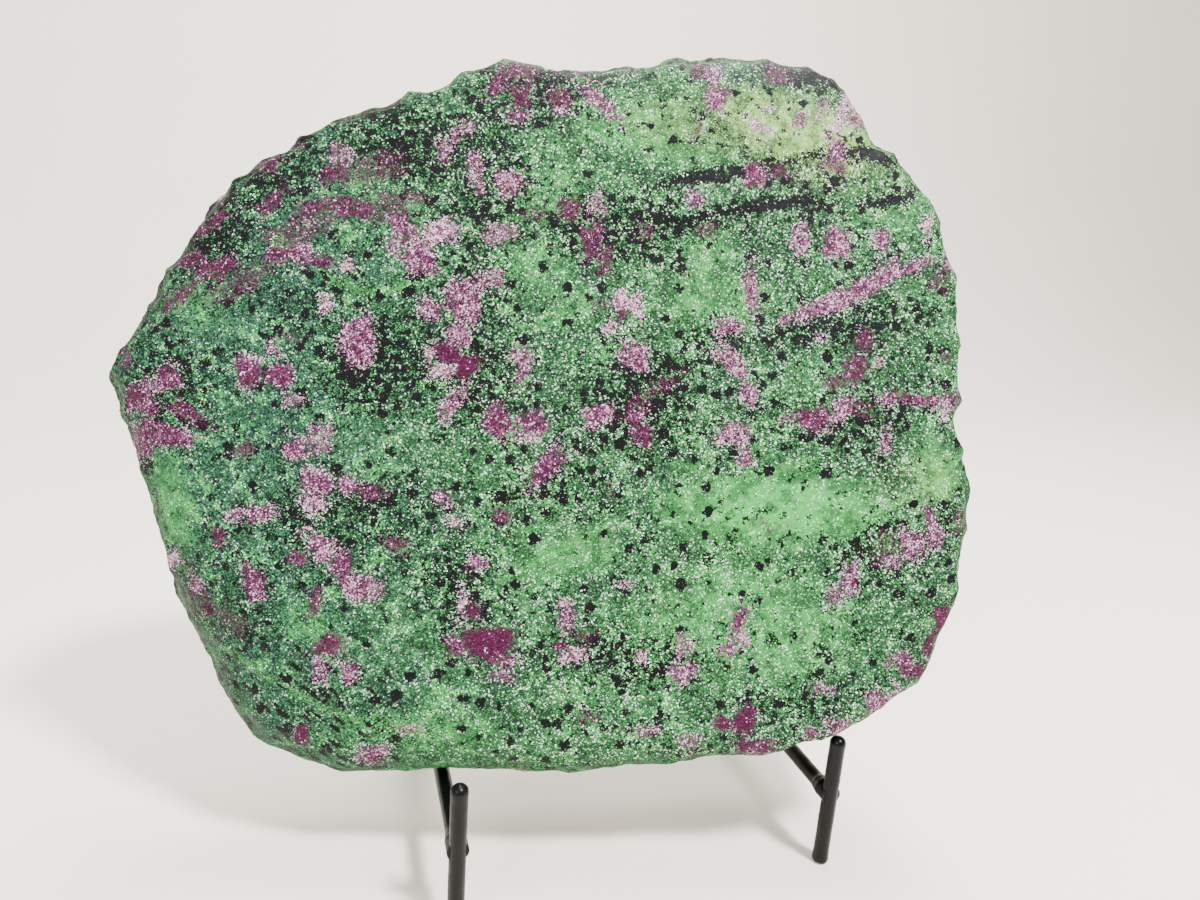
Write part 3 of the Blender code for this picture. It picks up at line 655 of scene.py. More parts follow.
        # Each step has a name, a kind and inputs, which are parts, hex colours, numbers or ramps. A
        # ramp eases its first entry from 0 at the second to the last, or 1, at the third. MIX lays
        # its third input over the second in the share of the first. Other kinds are plain sums.
        for name, step, *inputs in self.green_steps() + self.black_steps() + self.ruby_steps():
            values = []
            for part in inputs:
                if isinstance(part, tuple):
                    ends = (parts.get(end, end) for end in part)
                    ends = dict(zip(("Value", "From Min", "From Max", "To Max"), ends))
                    ramp = add_node(tree, "ShaderNodeMapRange", ends, interpolation_type="SMOOTHSTEP")
                    values.append(ramp.outputs["Result"])
                elif part in parts:
                    values.append(parts[part])
                else:
                    values.append(linear(part) if isinstance(part, str) else part)
            if step == "MIX":
                node = add_node(tree, "ShaderNodeMix", dict(zip((0, 6, 7), values)), data_type="RGBA")
                parts[name] = node.outputs[2]
            else:
                node = add_node(tree, "ShaderNodeMath", dict(enumerate(values)), operation=step)
                parts[name] = node.outputs[0]

        bump = add_node(
            tree, "ShaderNodeBump",
            {"Height": parts["height"], "Strength": self.bump_strength, "Distance": self.bump_height * MM},
        ).outputs["Normal"]
        for name, value in (("Base Color", parts["stone"]), ("Roughness", parts["gloss"]), ("Normal", bump)):
            tree.links.new(value, shader.inputs[name])
        shader.inputs["IOR"].default_value = self.ior
        shader.inputs["Specular IOR Level"].default_value = self.sheen
        return material


@dataclass(frozen=True)
class CoatedSteelFinish:
    """Mild steel rod with a satin black powder coat, slightly orange-peeled. Sizes are in mm."""

    colour: str = "030405"
    dusty: str = "0a0c0e"
    roughness: float = 0.30
    smoother: float = 0.10
    rougher: float = 0.14
    ior: float = 1.5
    sheen: float = 0.14
    peel: float = 0.9
    peel_height: float = 0.12
    peel_strength: float = 0.35
    cloud: float = 14.0
    coat: float = 0.03
    coat_roughness: float = 0.18

    def material(self) -> bpy.types.Material:
        """Build the coating's material.

        Returns:
            The material.
        """
        # Powder coat baked on steel: deep black, soft highlights, and dust in broad faint clouds
        material, tree, shader = new_material("black_powder_coat")
        coordinates = add_node(tree, "ShaderNodeTexCoord").outputs["Object"]
        peel, cloud = (
            add_node(
                tree, "ShaderNodeTexNoise",
                {"Vector": coordinates, "Scale": 1.0 / (size * MM), "Detail": detail, "Roughness": rough},
            ).outputs["Fac"]
            for size, detail, rough in ((self.peel, 2.0, 0.5), (self.cloud, 4.0, 0.65))
        )
        worn, gloss = (
            add_node(
                tree, "ShaderNodeMapRange",
                {"Value": cloud, "From Min": low, "From Max": high, "To Min": least, "To Max": most},
            ).outputs["Result"]
            for low, high, least, most in (
                (0.45, 0.75, 0.0, 0.7),
                (0.0, 1.0, self.roughness - self.smoother, self.roughness + self.rougher),
            )
        )
        colour = add_node(
            tree, "ShaderNodeMix", {0: worn, 6: linear(self.colour), 7: linear(self.dusty)}, data_type="RGBA",
        ).outputs[2]
        bump = add_node(
            tree, "ShaderNodeBump",
            {"Height": peel, "Strength": self.peel_strength, "Distance": self.peel_height * MM},
        ).outputs["Normal"]
        for name, value in (("Base Color", colour), ("Roughness", gloss), ("Normal", bump)):
            tree.links.new(value, shader.inputs[name])
        for name, value in (
            ("IOR", self.ior), ("Specular IOR Level", self.sheen), ("Coat Weight", self.coat),
            ("Coat Roughness", self.coat_roughness),
        ):
            shader.inputs[name].default_value = value
        return material


@dataclass(frozen=True)
class FloorFinish:
    """Pale satin board, almost white, with a faint mottle a hand wide."""

    colour: str = "f7f1e6"
    shade: str = "f0e9dd"
    roughness: float = 0.55
    mottles_per_metre: float = 6.0

    def material(self) -> bpy.types.Material:
        """Build the floor's material.

        Returns:
            The material.
        """
        # Painted board: even and pale, so that the stone's shadow is all that marks it
        material, tree, shader = new_material("pale_floor")
        coordinates = add_node(tree, "ShaderNodeTexCoord").outputs["Object"]
        mottle = add_node(
            tree, "ShaderNodeTexNoise",
            {"Vector": coordinates, "Scale": self.mottles_per_metre, "Detail": 3.0},
        ).outputs["Fac"]
        colour = add_node(
            tree, "ShaderNodeMix", {0: mottle, 6: linear(self.colour), 7: linear(self.shade)},
            data_type="RGBA",
        ).outputs[2]
        tree.links.new(colour, shader.inputs["Base Color"])
        shader.inputs["Roughness"].default_value = self.roughness
        return material


def named_inputs(tree: bpy.types.GeometryNodeTree, sizes: dict[str, float]) -> None:
    """Give a geometry tree its geometry sockets, a material input and one float input for each size.

    Args:
        tree: The geometry node tree.
        sizes: Input names with their default values.
    """
    tree.interface.new_socket("Geometry", in_out="INPUT", socket_type="NodeSocketGeometry")
    tree.interface.new_socket("Material", in_out="INPUT", socket_type="NodeSocketMaterial")
    for name, value in sizes.items():
        made = tree.interface.new_socket(name, in_out="INPUT", socket_type="NodeSocketFloat")
        made.default_value = value
    tree.interface.new_socket("Geometry", in_out="OUTPUT", socket_type="NodeSocketGeometry")


def run_tree(obj: bpy.types.Object, tree: bpy.types.GeometryNodeTree, values: dict[str, Any]) -> None:
    """Run a geometry tree on an object and keep the result as its plain mesh, with no modifier.

    Args:
        obj: The object, which must be in the scene.
        tree: The geometry node tree.
        values: Values of the tree's named inputs.
    """
    modifier = obj.modifiers.new(tree.name, "NODES")
    modifier.node_group = tree
    sockets = {s.name: s.identifier for s in tree.interface.items_tree if s.in_out == "INPUT"}
    for name, value in values.items():
        modifier[sockets[name]] = value
    graph = bpy.context.evaluated_depsgraph_get()
    mesh = bpy.data.meshes.new_from_object(obj.evaluated_get(graph))
    obj.modifiers.remove(modifier)
    obj.data = mesh


@dataclass
class RubySlab:
    """The rough slab: a fine mesh over its solid, its relief and the marks on its surface."""

    place: SlabPlace
    finish: ZoisiteFinish
    node: str = "stone"
    mesh_step: float = 1.62
    seed: int = 11
    far_marks: int = 230
    halo: float = 2.2
    soften_factor: float = 0.5
    soften_rounds: int = 14
    far_pale: float = 0.22
    far_dark: float = 0.30
    halo_dark: float = 0.35
    # Painted shade on the sides that turn away from the light, as more dark grains
    painted_side_shade: float = 0.40
    squareness: float = 2.8
    wobble: float = 0.10
    scar_depth: float = 0.9
    carriers: tuple[str, ...] = (
        "arm_left", "arm_right", "front_post_right", "crossbar_upper", "rear_post_left",
    )

    def build(self) -> bpy.types.Object:
        """Make the slab, dress it and put it in the place of its solid.

        Returns:
            The finished slab.
        """
        slab = self.fine_copy()
        self.mark(slab)
        tree = self.relief_tree()
        material = self.finish.material(self.place)
        run_tree(slab, tree, {"Material": material, **self.relief_sizes()})
        slab.data.polygons.foreach_set("use_smooth", [True] * len(slab.data.polygons))
        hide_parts(self.node)
        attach(slab, BODY)
        return slab

    def fine_copy(self) -> bpy.types.Object:
        """Copy the slab's solid as an even, fine mesh, with the solid's facets smoothed away.

        Returns:
            The copy, in the row frame.
        """
        source = bmesh.new()
        source.from_mesh(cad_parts[self.node].data)
        bmesh.ops.remove_doubles(source, verts=source.verts, dist=0.01 * MM)
        to_slab = self.place.matrix().inverted()
        bmesh.ops.transform(source, matrix=to_slab, verts=source.verts)
        mesh = bpy.data.meshes.new("ruby_slab")
        source.to_mesh(mesh)
        source.free()
        slab = bpy.data.objects.new("ruby_slab", mesh)
        bpy.context.scene.collection.objects.link(slab)
        remesh = slab.modifiers.new("Even", "REMESH")
        remesh.mode = "VOXEL"
        remesh.voxel_size = self.mesh_step
        smooth = slab.modifiers.new("Soften", "SMOOTH")
        smooth.factor = self.soften_factor
        smooth.iterations = self.soften_rounds
        graph = bpy.context.evaluated_depsgraph_get()
        even = bpy.data.meshes.new_from_object(slab.evaluated_get(graph))
        slab.modifiers.clear()
        even.transform(self.place.matrix())
        slab.data = even
        return slab

    def relief_sizes(self) -> dict[str, float]:
        """List the relief's sizes and heights.

        Returns:
            Named inputs of the relief tree, in mm.
        """
        return {
            "Lump Size": 26.0, "Lump Height": 1.5,
            "Knob Size": 8.0, "Knob Height": 0.8,
            "Grit Size": 3.6, "Grit Height": 0.55,
            "Chip Size": 12.0, "Chip Depth": 4.0,
        }

    def relief_tree(self) -> bpy.types.GeometryNodeTree:
        """Make the geometry tree that raises lumps, knobs and grit, and scoops chips along the rims.

        Returns:
            The tree. It reads the mesh's calm, rim, face and step attributes.
        """
        tree = bpy.data.node_groups.new("broken_relief", "GeometryNodeTree")
        named_inputs(tree, self.relief_sizes())
        group = add_node(tree, "NodeGroupInput").outputs
        position = add_node(tree, "GeometryNodeInputPosition").outputs[0]
        normal = add_node(tree, "GeometryNodeInputNormal").outputs[0]
        slab = add_node(
            tree, "ShaderNodeVectorMath", {0: position, "Scale": 1.0 / MM}, operation="SCALE",
        ).outputs[0]

        # Each part of the height by name, then the steps that join them, all in mm
        parts: dict[Any, Any] = {socket.name: socket for socket in group}
        for name in ("calm", "rim", "face", "step"):
            node = add_node(tree, "GeometryNodeInputNamedAttribute", {"Name": name})
            parts[name] = node.outputs["Attribute"]
        for name, kind, settings in (
            ("Lump", "ShaderNodeTexNoise", {"Detail": 2.0}),
            ("Knob", "ShaderNodeTexNoise", {"Detail": 2.0}),
            ("Grit", "ShaderNodeTexNoise", {"Detail": 1.0}),
            ("Chip", "ShaderNodeTexVoronoi", {}),
        ):
            scale = add_node(tree, "ShaderNodeMath", {0: 1.0, 1: parts[f"{name} Size"]}, operation="DIVIDE")
            texture = add_node(tree, kind, {"Vector": slab, "Scale": scale.outputs[0], **settings})
            parts[name] = texture.outputs[0]
        for name, step, *inputs in (
            ("rise", "SUBTRACT", "Lump", 0.5),
            ("rise", "MULTIPLY", "rise", "Lump Height"),
            ("height", "MULTIPLY", "rise", 2.0),
            ("rise", "SUBTRACT", "Knob", 0.5),
            ("rise", "MULTIPLY", "rise", "Knob Height"),
            ("height", "MULTIPLY_ADD", "rise", 2.0, "height"),
            ("rise", "SUBTRACT", "Grit", 0.5),
            ("rise", "MULTIPLY", "rise", "Grit Height"),
            ("height", "MULTIPLY_ADD", "rise", 2.0, "height"),
            ("face_calm", "MULTIPLY_ADD", "face", -0.45, 1.0),
            ("height", "MULTIPLY", "height", "face_calm"),
            ("hollow", "MULTIPLY", "Chip", "Chip"),
            ("scoop", "SUBTRACT", 0.55, "hollow"),
            ("scoop", "MULTIPLY", "scoop", "Chip Depth"),
            ("scoop", "MULTIPLY", "scoop", "rim"),
            ("height", "SUBTRACT", "height", "scoop"),
            ("height", "ADD", "height", "step"),
            ("height", "MULTIPLY", "height", "calm"),
            ("height", "MULTIPLY", "height", MM),
        ):
            values = dict(enumerate(parts.get(part, part) for part in inputs))
            parts[name] = add_node(tree, "ShaderNodeMath", values, operation=step).outputs[0]
        offset = add_node(
            tree, "ShaderNodeVectorMath", {0: normal, "Scale": parts["height"]}, operation="SCALE",
        ).outputs[0]
        moved = add_node(tree, "GeometryNodeSetPosition", {"Geometry": group["Geometry"], "Offset": offset})
        real = add_node(tree, "GeometryNodeRealizeInstances", {"Geometry": moved.outputs[0]})
        dressed = add_node(
            tree, "GeometryNodeSetMaterial", {"Geometry": real.outputs[0], "Material": group["Material"]},
        )
        add_node(tree, "NodeGroupOutput", {"Geometry": dressed.outputs[0]})
        return tree

    def mark(self, slab: bpy.types.Object) -> None:
        """Write the attributes that the relief and the finish read.

        Args:
            slab: The fine copy, in the row frame.
        """
        mesh = slab.data
        count = len(mesh.vertices)
        points = np.empty(count * 3)
        mesh.vertices.foreach_get("co", points)
        points = points.reshape(-1, 3)
        normals = np.empty(count * 3)
        mesh.vertex_normals.foreach_get("vector", normals)
        axes = np.array(self.place.matrix().to_3x3().normalized())
        normals = normals.reshape(-1, 3) @ axes
        spots = self.place.to_slab(points)
        sheet = self.place.read_sheet(spots)
        seen = smooth_step(self.place.facing(spots, normals), -0.05, 0.12)

        ruby, tone, cover = self.ruby_fields(sheet, seen, spots)
        black = np.maximum(sheet.strips(HORNBLENDE_BANDS), sheet.spots(HORNBLENDE_SPOTS))
        # Painted shade: sides that turn away from the light get more dark grains here and fewer glints in the
        # finish
        edge = 1.0 - smooth_step(np.abs(normals[:, 2]), 0.55, 0.92)
        near_ruby = np.exp(-((ruby + self.halo) / self.halo) ** 2)
        dark = sheet.zones(DARK_ZONES) * seen + self.far_dark * (1.0 - seen)
        dark += self.halo_dark * near_ruby + self.painted_side_shade * edge
        corner = (1.0 - smooth_step(sheet.v, 40.0, 90.0)) * (1.0 - smooth_step(sheet.u, -110.0, -20.0))
        fresh, step = self.ledge_fields(sheet, seen)
        fields = {
            "ruby": ruby,
            "tone": tone,
            "cover": cover,
            "hornblende": np.where(seen > FACE_ENDS, black, OUTSIDE),
            "pale": sheet.zones(PALE_ZONES) * seen + self.far_pale * (1.0 - seen),
            "dark": np.clip(dark, 0.0, 1.2),
            "teal": 1.0 - smooth_step(spots[:, 0], -150.0, -30.0),
            "warm": sheet.zones(WARM_ZONES) * seen,
            "fold": corner,
            "fresh": fresh,
            "step": step,
            "edge": edge,
            "calm": self.calm_field(points),
            "rim": self.rim_field(normals, sheet.v),
            "face": smooth_step(normals[:, 2], 0.80, 0.96),
        }
        for name, values in fields.items():
            made = mesh.attributes.new(name, "FLOAT", "POINT")
            made.data.foreach_set("value", values.astype(np.float32))

    def ruby_fields(
        self, sheet: Sheet, seen: np.ndarray, spots: np.ndarray,
    ) -> tuple[np.ndarray, np.ndarray, np.ndarray]:
        """Depth inside the nearest ruby mark in mm, with that mark's tone and cover.

        Args:
            sheet: The points on the reading plane.
            seen: How far each point belongs to the face that was read.
            spots: The points in slab millimetres.

        Returns:
            Depth, tone and cover.
        """
        depth = np.full(len(spots), OUTSIDE)
        tone = np.full(len(spots), 0.5)
        cover = np.full(len(spots), 0.8)
        chance = random.Random(self.seed)
        for tint, marks in RUBY.items():
            for mark in marks:
                crystal = np.where(seen > FACE_ENDS, self.block(sheet, mark, chance), OUTSIDE)
                self.lay(crystal, tint, depth, tone, cover)
        band = np.where(seen > FACE_ENDS, sheet.strips((RUBY_BAND,)), OUTSIDE)
        self.lay(band, Tint.PINK, depth, tone, cover)
        tints = (
            Tint.DARK, Tint.MAGENTA, Tint.PINK, Tint.PINK, Tint.PALE, Tint.LILAC, Tint.DULL, Tint.DEEP,
        )
        low, high = spots.min(axis=0), spots.max(axis=0)
        inner = Sheet(spots[:, 0], spots[:, 1])
        for _ in range(self.far_marks):
            centre = [chance.uniform(low[axis], high[axis]) for axis in range(3)]
            sizes = [chance.uniform(5.0, 15.0), chance.uniform(4.0, 9.0)]
            turn = chance.uniform(-40.0, 40.0)
            across = self.block(inner, (centre[0], centre[1], *sizes, turn), chance)
            away = np.abs(spots[:, 2] - centre[2]) - chance.uniform(8.0, 20.0)
            body = np.where(seen > FACE_ENDS, OUTSIDE, np.minimum(across, -away))
            self.lay(body, chance.choice(tints), depth, tone, cover)
        return np.clip(depth, OUTSIDE, -OUTSIDE), tone, cover

    def lay(
        self, here: np.ndarray, tint: Tint, depth: np.ndarray, tone: np.ndarray, cover: np.ndarray,
    ) -> None:
        """Let one mark take the points where it is the deepest so far.

        Args:
            here: Depth of each point inside the mark.
            tint: The mark's look.
            depth: Greatest depth so far, which changes in place.
            tone: Lightness of the deepest mark, which changes in place.
            cover: Its share of the grains, which changes in place.
        """
        wins = here > depth
        depth[wins] = here[wins]
        tone[wins], cover[wins] = tint.value

    def block(self, sheet: Sheet, mark: Sequence[float], chance: random.Random) -> np.ndarray:
        """Measure the depth in mm inside one blocky, uneven crystal.

        Args:
            sheet: The points.
            mark: Centre u and v, width, height, and turn where it has one.
            chance: Source of the crystal's own unevenness.

        Returns:
            Depth, negative outside.
        """
        width, height = mark[2:4]
        turn = mark[4] if len(mark) > 4 else 0.0
        along, across = sheet.turned(mark[:2], turn)
        around = np.arctan2(across / height, along / width)
        wobble = self.wobble * np.sin(2.0 * around + chance.uniform(0.0, math.tau))
        wobble += self.wobble * np.sin(3.0 * around + chance.uniform(0.0, math.tau))
        power = self.squareness
        reach = (np.abs(along) / (width / 2.0)) ** power + (np.abs(across) / (height / 2.0)) ** power
        return (1.0 - reach ** (1.0 / power) * (1.0 + wobble)) * min(width, height) / 2.0

    def ledge_fields(self, sheet: Sheet, seen: np.ndarray) -> tuple[np.ndarray, np.ndarray]:
        """Mark the fresh pale edges of the chip scars, and sink the scars below them.

        Args:
            sheet: The points on the reading plane.
            seen: How far each point belongs to the face that was read.

        Returns:
            Share of fresh edge, and the step in mm, which is negative in a scar.
        """
        fresh = np.zeros(len(seen))
        step = np.zeros(len(seen))
        for ledge in LEDGES:
            for start, end in zip(ledge, ledge[1:]):
                away = sheet.beside(start, end)[1]
                angle = math.degrees(math.atan2(end[1] - start[1], end[0] - start[0]))
                side = sheet.turned(start, angle)[1]
                fresh = np.maximum(fresh, 1.0 - smooth_step(away, 0.3, 1.8))
                scar = smooth_step(-side, -0.8, 1.2) * (1.0 - smooth_step(away, 3.0, 16.0))
                step = np.minimum(step, -self.scar_depth * scar)
        return fresh * seen, step * seen

    def calm_field(self, points: np.ndarray) -> np.ndarray:
        """Calm the relief where the slab is carried, so that it doesn't reach the rods.

        Args:
            points: Points of the slab, in metres.

        Returns:
            Share of the relief, zero beside the rods.
        """
        calm = np.ones(len(points))
        for name in self.carriers:
            low, high = (np.array(corner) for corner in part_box(name))
            outside = np.maximum(np.maximum(low - points, points - high), 0.0)
            away = np.linalg.norm(outside, axis=1) / MM
            calm = np.minimum(calm, smooth_step(away, 1.5, 9.0))
        return calm

    def rim_field(self, normals: np.ndarray, v: np.ndarray) -> np.ndarray:
        """How much chips show: most along the rims and sides, less on the worn lower edge."""
        edge = 1.0 - smooth_step(np.abs(normals[:, 2]), 0.62, 0.93)
        return edge * (0.35 + 0.65 * smooth_step(v, 40.0, 150.0))


@dataclass
class RodStand:
    """The stand of round rod: posts with domed tips, and arms and crossbars welded between them."""

    finish: CoatedSteelFinish
    swell: float = 1.07
    neck: float = 7.0 * MM
    bead_radius: float = 4.1 * MM
    bead_length: float = 7.5 * MM
    foot_rounding: float = 1.7 * MM
    foot_flat: float = 0.62
    coat_gap: float = 0.04 * MM
    run_in: float = 0.6
    ripple: float = 0.10 * MM
    ripple_halves: float = 5.0
    tip_radius: float = 0.02 * MM
    step: float = 0.45 * MM
    sides: int = 40
    arms: tuple[str, ...] = ("arm_left", "arm_right")
    bars: tuple[str, ...] = ("crossbar_lower", "crossbar_upper")
    posts: tuple[str, ...] = ("front_post_left", "front_post_right", "rear_post_left", "rear_post_right")

    def build(self) -> list[bpy.types.Object]:
        """Make each rod and put it in the place of its solid.

        Returns:
            The finished rods.
        """
        tree = self.sweep_tree()
        material = self.finish.material()
        low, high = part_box("front_post_left")
        radius = (high.x - low.x) / 2.0 / self.swell
        made = []
        for name in self.posts:
            low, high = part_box(name)
            middle = (low + high) / 2.0
            start = Vector((middle.x, middle.y, low.z + self.coat_gap))
            end = Vector((middle.x, middle.y, high.z))
            made.append(self.rod(name, start, end, radius, False, tree, material))
        for name in self.arms + self.bars:
            low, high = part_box(name)
            middle = (low + high) / 2.0
            half = (high - low) / 2.0
            axis = 1 if name in self.arms else 0
            reach = Vector((0.0, 0.0, 0.0))
            reach[axis] = half[axis] + radius * self.run_in
            made.append(self.rod(name, middle - reach, middle + reach, radius, True, tree, material))
        return made

    def rod(
        self, name: str, start: Vector, end: Vector, radius: float, welded: bool,
        tree: bpy.types.GeometryNodeTree, material: bpy.types.Material,
    ) -> bpy.types.Object:
        """Sweep one rod along its axis.

        Args:
            name: The solid's node, whose place the rod takes.
            start: First end of the axis.
            end: Second end.
            radius: The bar's radius.
            welded: Whether both ends run into other rods under weld beads.
            tree: The sweep's geometry tree.
            material: The coating.

        Returns:
            The finished rod.
        """
        length = (end - start).length
        count = max(int(length / self.step), 8)
        places = [length * index / count for index in range(count + 1)]
        radii = [self.radius_at(place, length, radius, welded) for place in places]
        mesh = bpy.data.meshes.new(f"{name}_rod")
        direction = (end - start).normalized()
        edges = [(index, index + 1) for index in range(count)]
        mesh.from_pydata([start + direction * place for place in places], edges, [])
        made = mesh.attributes.new("rod_radius", "FLOAT", "POINT")
        made.data.foreach_set("value", radii)
        rod = bpy.data.objects.new(f"{name}_rod", mesh)
        bpy.context.scene.collection.objects.link(rod)
        run_tree(rod, tree, {"Material": material, "Sides": self.sides})
        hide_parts(name)
        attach(rod, BODY)
        return rod

    def radius_at(self, place: float, length: float, radius: float, welded: bool) -> float:
        """Radius of a rod at a place along it.

        Args:
            place: Distance from the rod's start.
            length: The rod's length.
            radius: The bar's radius.
            welded: Whether its ends carry weld beads in place of a foot and a tip.

        Returns:
            The radius there.
        """
        from_end = min(place, length - place)
        if welded:
            hidden = radius * (1.0 + self.run_in)
            run = min(max((from_end - hidden) / self.bead_length, 0.0), 1.0)
            ripple = self.ripple * math.sin(run * math.pi * self.ripple_halves) * (1.0 - run)
            bulge = (self.bead_radius - radius) * (0.5 + 0.5 * math.cos(math.pi * run))
            return radius + bulge + ripple
        swollen = radius * self.swell
        fade = 0.5 + 0.5 * math.cos(math.pi * min(from_end / self.neck, 1.0))
        neck = radius + (swollen - radius) * fade
        if place < self.foot_rounding:
            share = 1.0 - place / self.foot_rounding
            return neck * (self.foot_flat + (1.0 - self.foot_flat) * math.sqrt(1.0 - share * share))
        above = length - place
        if above < swollen:
            share = 1.0 - above / swollen
            return max(neck * math.sqrt(max(0.0, 1.0 - share * share)), self.tip_radius)
        return neck

    def sweep_tree(self) -> bpy.types.GeometryNodeTree:
        """Make the geometry tree that sweeps a circle along a line of points.

        Returns:
            The tree. It reads the line's rod_radius attribute.
        """
        tree = bpy.data.node_groups.new("rod_sweep", "GeometryNodeTree")
        named_inputs(tree, {"Coat Size": 5.0 * MM, "Coat Unevenness": 0.22 * MM})
        sides = tree.interface.new_socket("Sides", in_out="INPUT", socket_type="NodeSocketInt")
        sides.default_value = self.sides
        group = add_node(tree, "NodeGroupInput").outputs
        named = add_node(tree, "GeometryNodeInputNamedAttribute", {"Name": "rod_radius"})
        radius = named.outputs["Attribute"]
        position = add_node(tree, "GeometryNodeInputPosition").outputs[0]
        normal = add_node(tree, "GeometryNodeInputNormal").outputs[0]
        ring = add_node(
            tree, "GeometryNodeCurvePrimitiveCircle", {"Resolution": group["Sides"], "Radius": 1.0},
        ).outputs[0]

        # The coat is thicker here and thinner there by a fraction of a millimetre
        scale = add_node(tree, "ShaderNodeMath", {0: 1.0, 1: group["Coat Size"]}, operation="DIVIDE")
        noise = add_node(
            tree, "ShaderNodeTexNoise", {"Vector": position, "Scale": scale.outputs[0], "Detail": 1.0},
        )
        height = add_node(tree, "ShaderNodeMath", {0: noise.outputs[0], 1: 0.55}, operation="SUBTRACT")
        height = add_node(
            tree, "ShaderNodeMath", {0: height.outputs[0], 1: group["Coat Unevenness"]},
            operation="MULTIPLY",
        )
        offset = add_node(
            tree, "ShaderNodeVectorMath", {0: normal, "Scale": height.outputs[0]}, operation="SCALE",
        ).outputs[0]

        # The rod passes through each node by its first input and output
        rod = group["Geometry"]
        for kind, inputs in (
            ("GeometryNodeMeshToCurve", {}),
            ("GeometryNodeSetCurveRadius", {"Radius": radius}),
            ("GeometryNodeCurveToMesh", {"Profile Curve": ring, "Scale": radius, "Fill Caps": True}),
            ("GeometryNodeSetPosition", {"Offset": offset}),
            ("GeometryNodeSetShadeSmooth", {}),
            ("GeometryNodeRealizeInstances", {}),
            ("GeometryNodeSetMaterial", {"Material": group["Material"]}),
        ):
            rod = add_node(tree, kind, {0: rod, **inputs}).outputs[0]
        add_node(tree, "NodeGroupOutput", {"Geometry": rod})
        return tree


@dataclass(frozen=True)
class SoftBox:
    """A square soft light: its place and width in metres and its power in watts."""

    name: str
    spot: tuple[float, float, float]
    size: float
    power: float


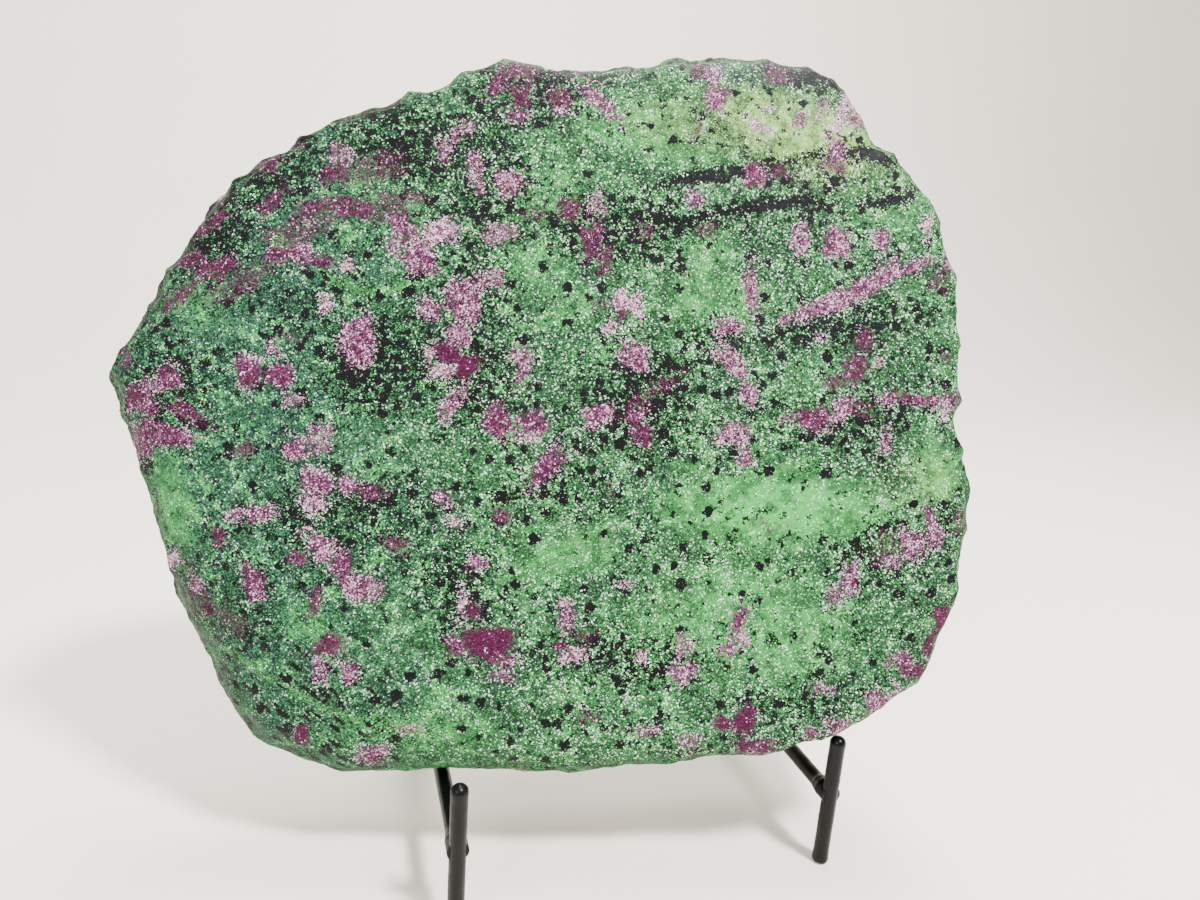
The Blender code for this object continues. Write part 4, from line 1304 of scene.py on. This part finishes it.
@dataclass
class Studio:
    """Pale floor that curves up behind, soft lights from above and the camera."""

    place: SlabPlace
    floor_finish: FloorFinish
    floor_width: float = 16.0
    floor_front: float = 8.0
    floor_back: float = 1.5
    wall_height: float = 2.6
    bend: float = 0.7
    bend_steps: int = 24
    aim_height: float = 0.14
    lamps: tuple[SoftBox, ...] = (
        SoftBox("key_soft_box", (0.55, -0.80, 1.75), 0.26, 92.0),
        SoftBox("fill_soft_box", (-1.25, -1.05, 1.15), 0.9, 24.0),
        SoftBox("top_soft_box", (0.3, 0.45, 1.7), 0.7, 44.0),
    )
    world_colour: str = "f5efe8"
    world_strength: float = 0.9
    eye: Vector = field(default_factory=lambda: Vector((-117.94, -258.28, 249.73)))
    yaw: float = math.radians(18.08)
    pitch: float = math.radians(14.49)
    roll: float = math.radians(-4.12)
    focal_pixels: float = 852.75
    image_width: float = 1200.0
    sensor: float = 36.0

    def build(self) -> None:
        """Make the floor, the lights and the camera."""
        self.make_floor()
        self.make_lights()
        self.make_camera()

    def make_floor(self) -> None:
        """Make the floor and backdrop in one sheet."""
        profile = [(-self.floor_front, 0.0)]
        for index in range(self.bend_steps + 1):
            angle = math.pi / 2.0 * index / self.bend_steps
            y = self.floor_back - self.bend + self.bend * math.sin(angle)
            profile.append((y, self.bend * (1.0 - math.cos(angle))))
        profile.append((self.floor_back, self.wall_height))
        half = self.floor_width / 2.0
        sheet = bmesh.new()
        rows = [[sheet.verts.new((x, y, z)) for x in (-half, half)] for y, z in profile]
        for low, high in zip(rows, rows[1:]):
            sheet.faces.new((low[0], low[1], high[1], high[0]))
        mesh = bpy.data.meshes.new("pale_floor")
        sheet.to_mesh(mesh)
        sheet.free()
        mesh.polygons.foreach_set("use_smooth", [True] * len(mesh.polygons))
        mesh.materials.append(self.floor_finish.material())
        floor = bpy.data.objects.new("pale_floor", mesh)
        bpy.context.scene.collection.objects.link(floor)

    def make_lights(self) -> None:
        """Hang soft boxes above and in front, with a pale world light."""
        aim = Vector((0.0, 0.0, self.aim_height))
        for box in self.lamps:
            light = bpy.data.lights.new(box.name, "AREA")
            light.shape = "SQUARE"
            light.size = box.size
            light.energy = box.power
            lamp = bpy.data.objects.new(box.name, light)
            lamp.location = box.spot
            lamp.rotation_mode = "QUATERNION"
            lamp.rotation_quaternion = (aim - Vector(box.spot)).to_track_quat("-Z", "Y")
            bpy.context.scene.collection.objects.link(lamp)
        world = bpy.data.worlds.new("pale_studio")
        world.use_nodes = True
        background = world.node_tree.nodes["Background"]
        background.inputs["Color"].default_value = linear(self.world_colour)
        background.inputs["Strength"].default_value = self.world_strength
        bpy.context.scene.world = world

    def make_camera(self) -> None:
        """Put the camera at the fitted viewpoint, given from the middle of the front posts in mm."""
        forward = Vector((
            math.sin(self.yaw) * math.cos(self.pitch),
            math.cos(self.yaw) * math.cos(self.pitch),
            -math.sin(self.pitch),
        ))
        level = Vector((math.cos(self.yaw), -math.sin(self.yaw), 0.0))
        down = forward.cross(level)
        right = level * math.cos(self.roll) + down * math.sin(self.roll)
        down = down * math.cos(self.roll) - level * math.sin(self.roll)
        rows = Matrix((right, -down, -forward)).transposed()
        data = bpy.data.cameras.new("camera")
        data.sensor_width = self.sensor
        data.lens = self.focal_pixels / self.image_width * self.sensor
        data.clip_start = 0.01
        camera = bpy.data.objects.new("camera", data)
        camera.matrix_world = Matrix.Translation(self.place.stand_origin() + self.eye * MM) @ rows.to_4x4()
        bpy.context.scene.collection.objects.link(camera)
        bpy.context.scene.camera = camera


def main() -> None:
    """Build the slab, the stand and the studio, and report each piece."""
    logging.basicConfig(level=logging.INFO, format="%(name)s: %(message)s")
    place = SlabPlace()
    Studio(place, FloorFinish()).build()
    slab = RubySlab(place, ZoisiteFinish()).build()
    log.info("%s: %d faces", slab.name, len(slab.data.polygons))
    for rod in RodStand(CoatedSteelFinish()).build():
        log.info("%s: %d faces", rod.name, len(rod.data.polygons))


if __name__ == "__main__":
    main()
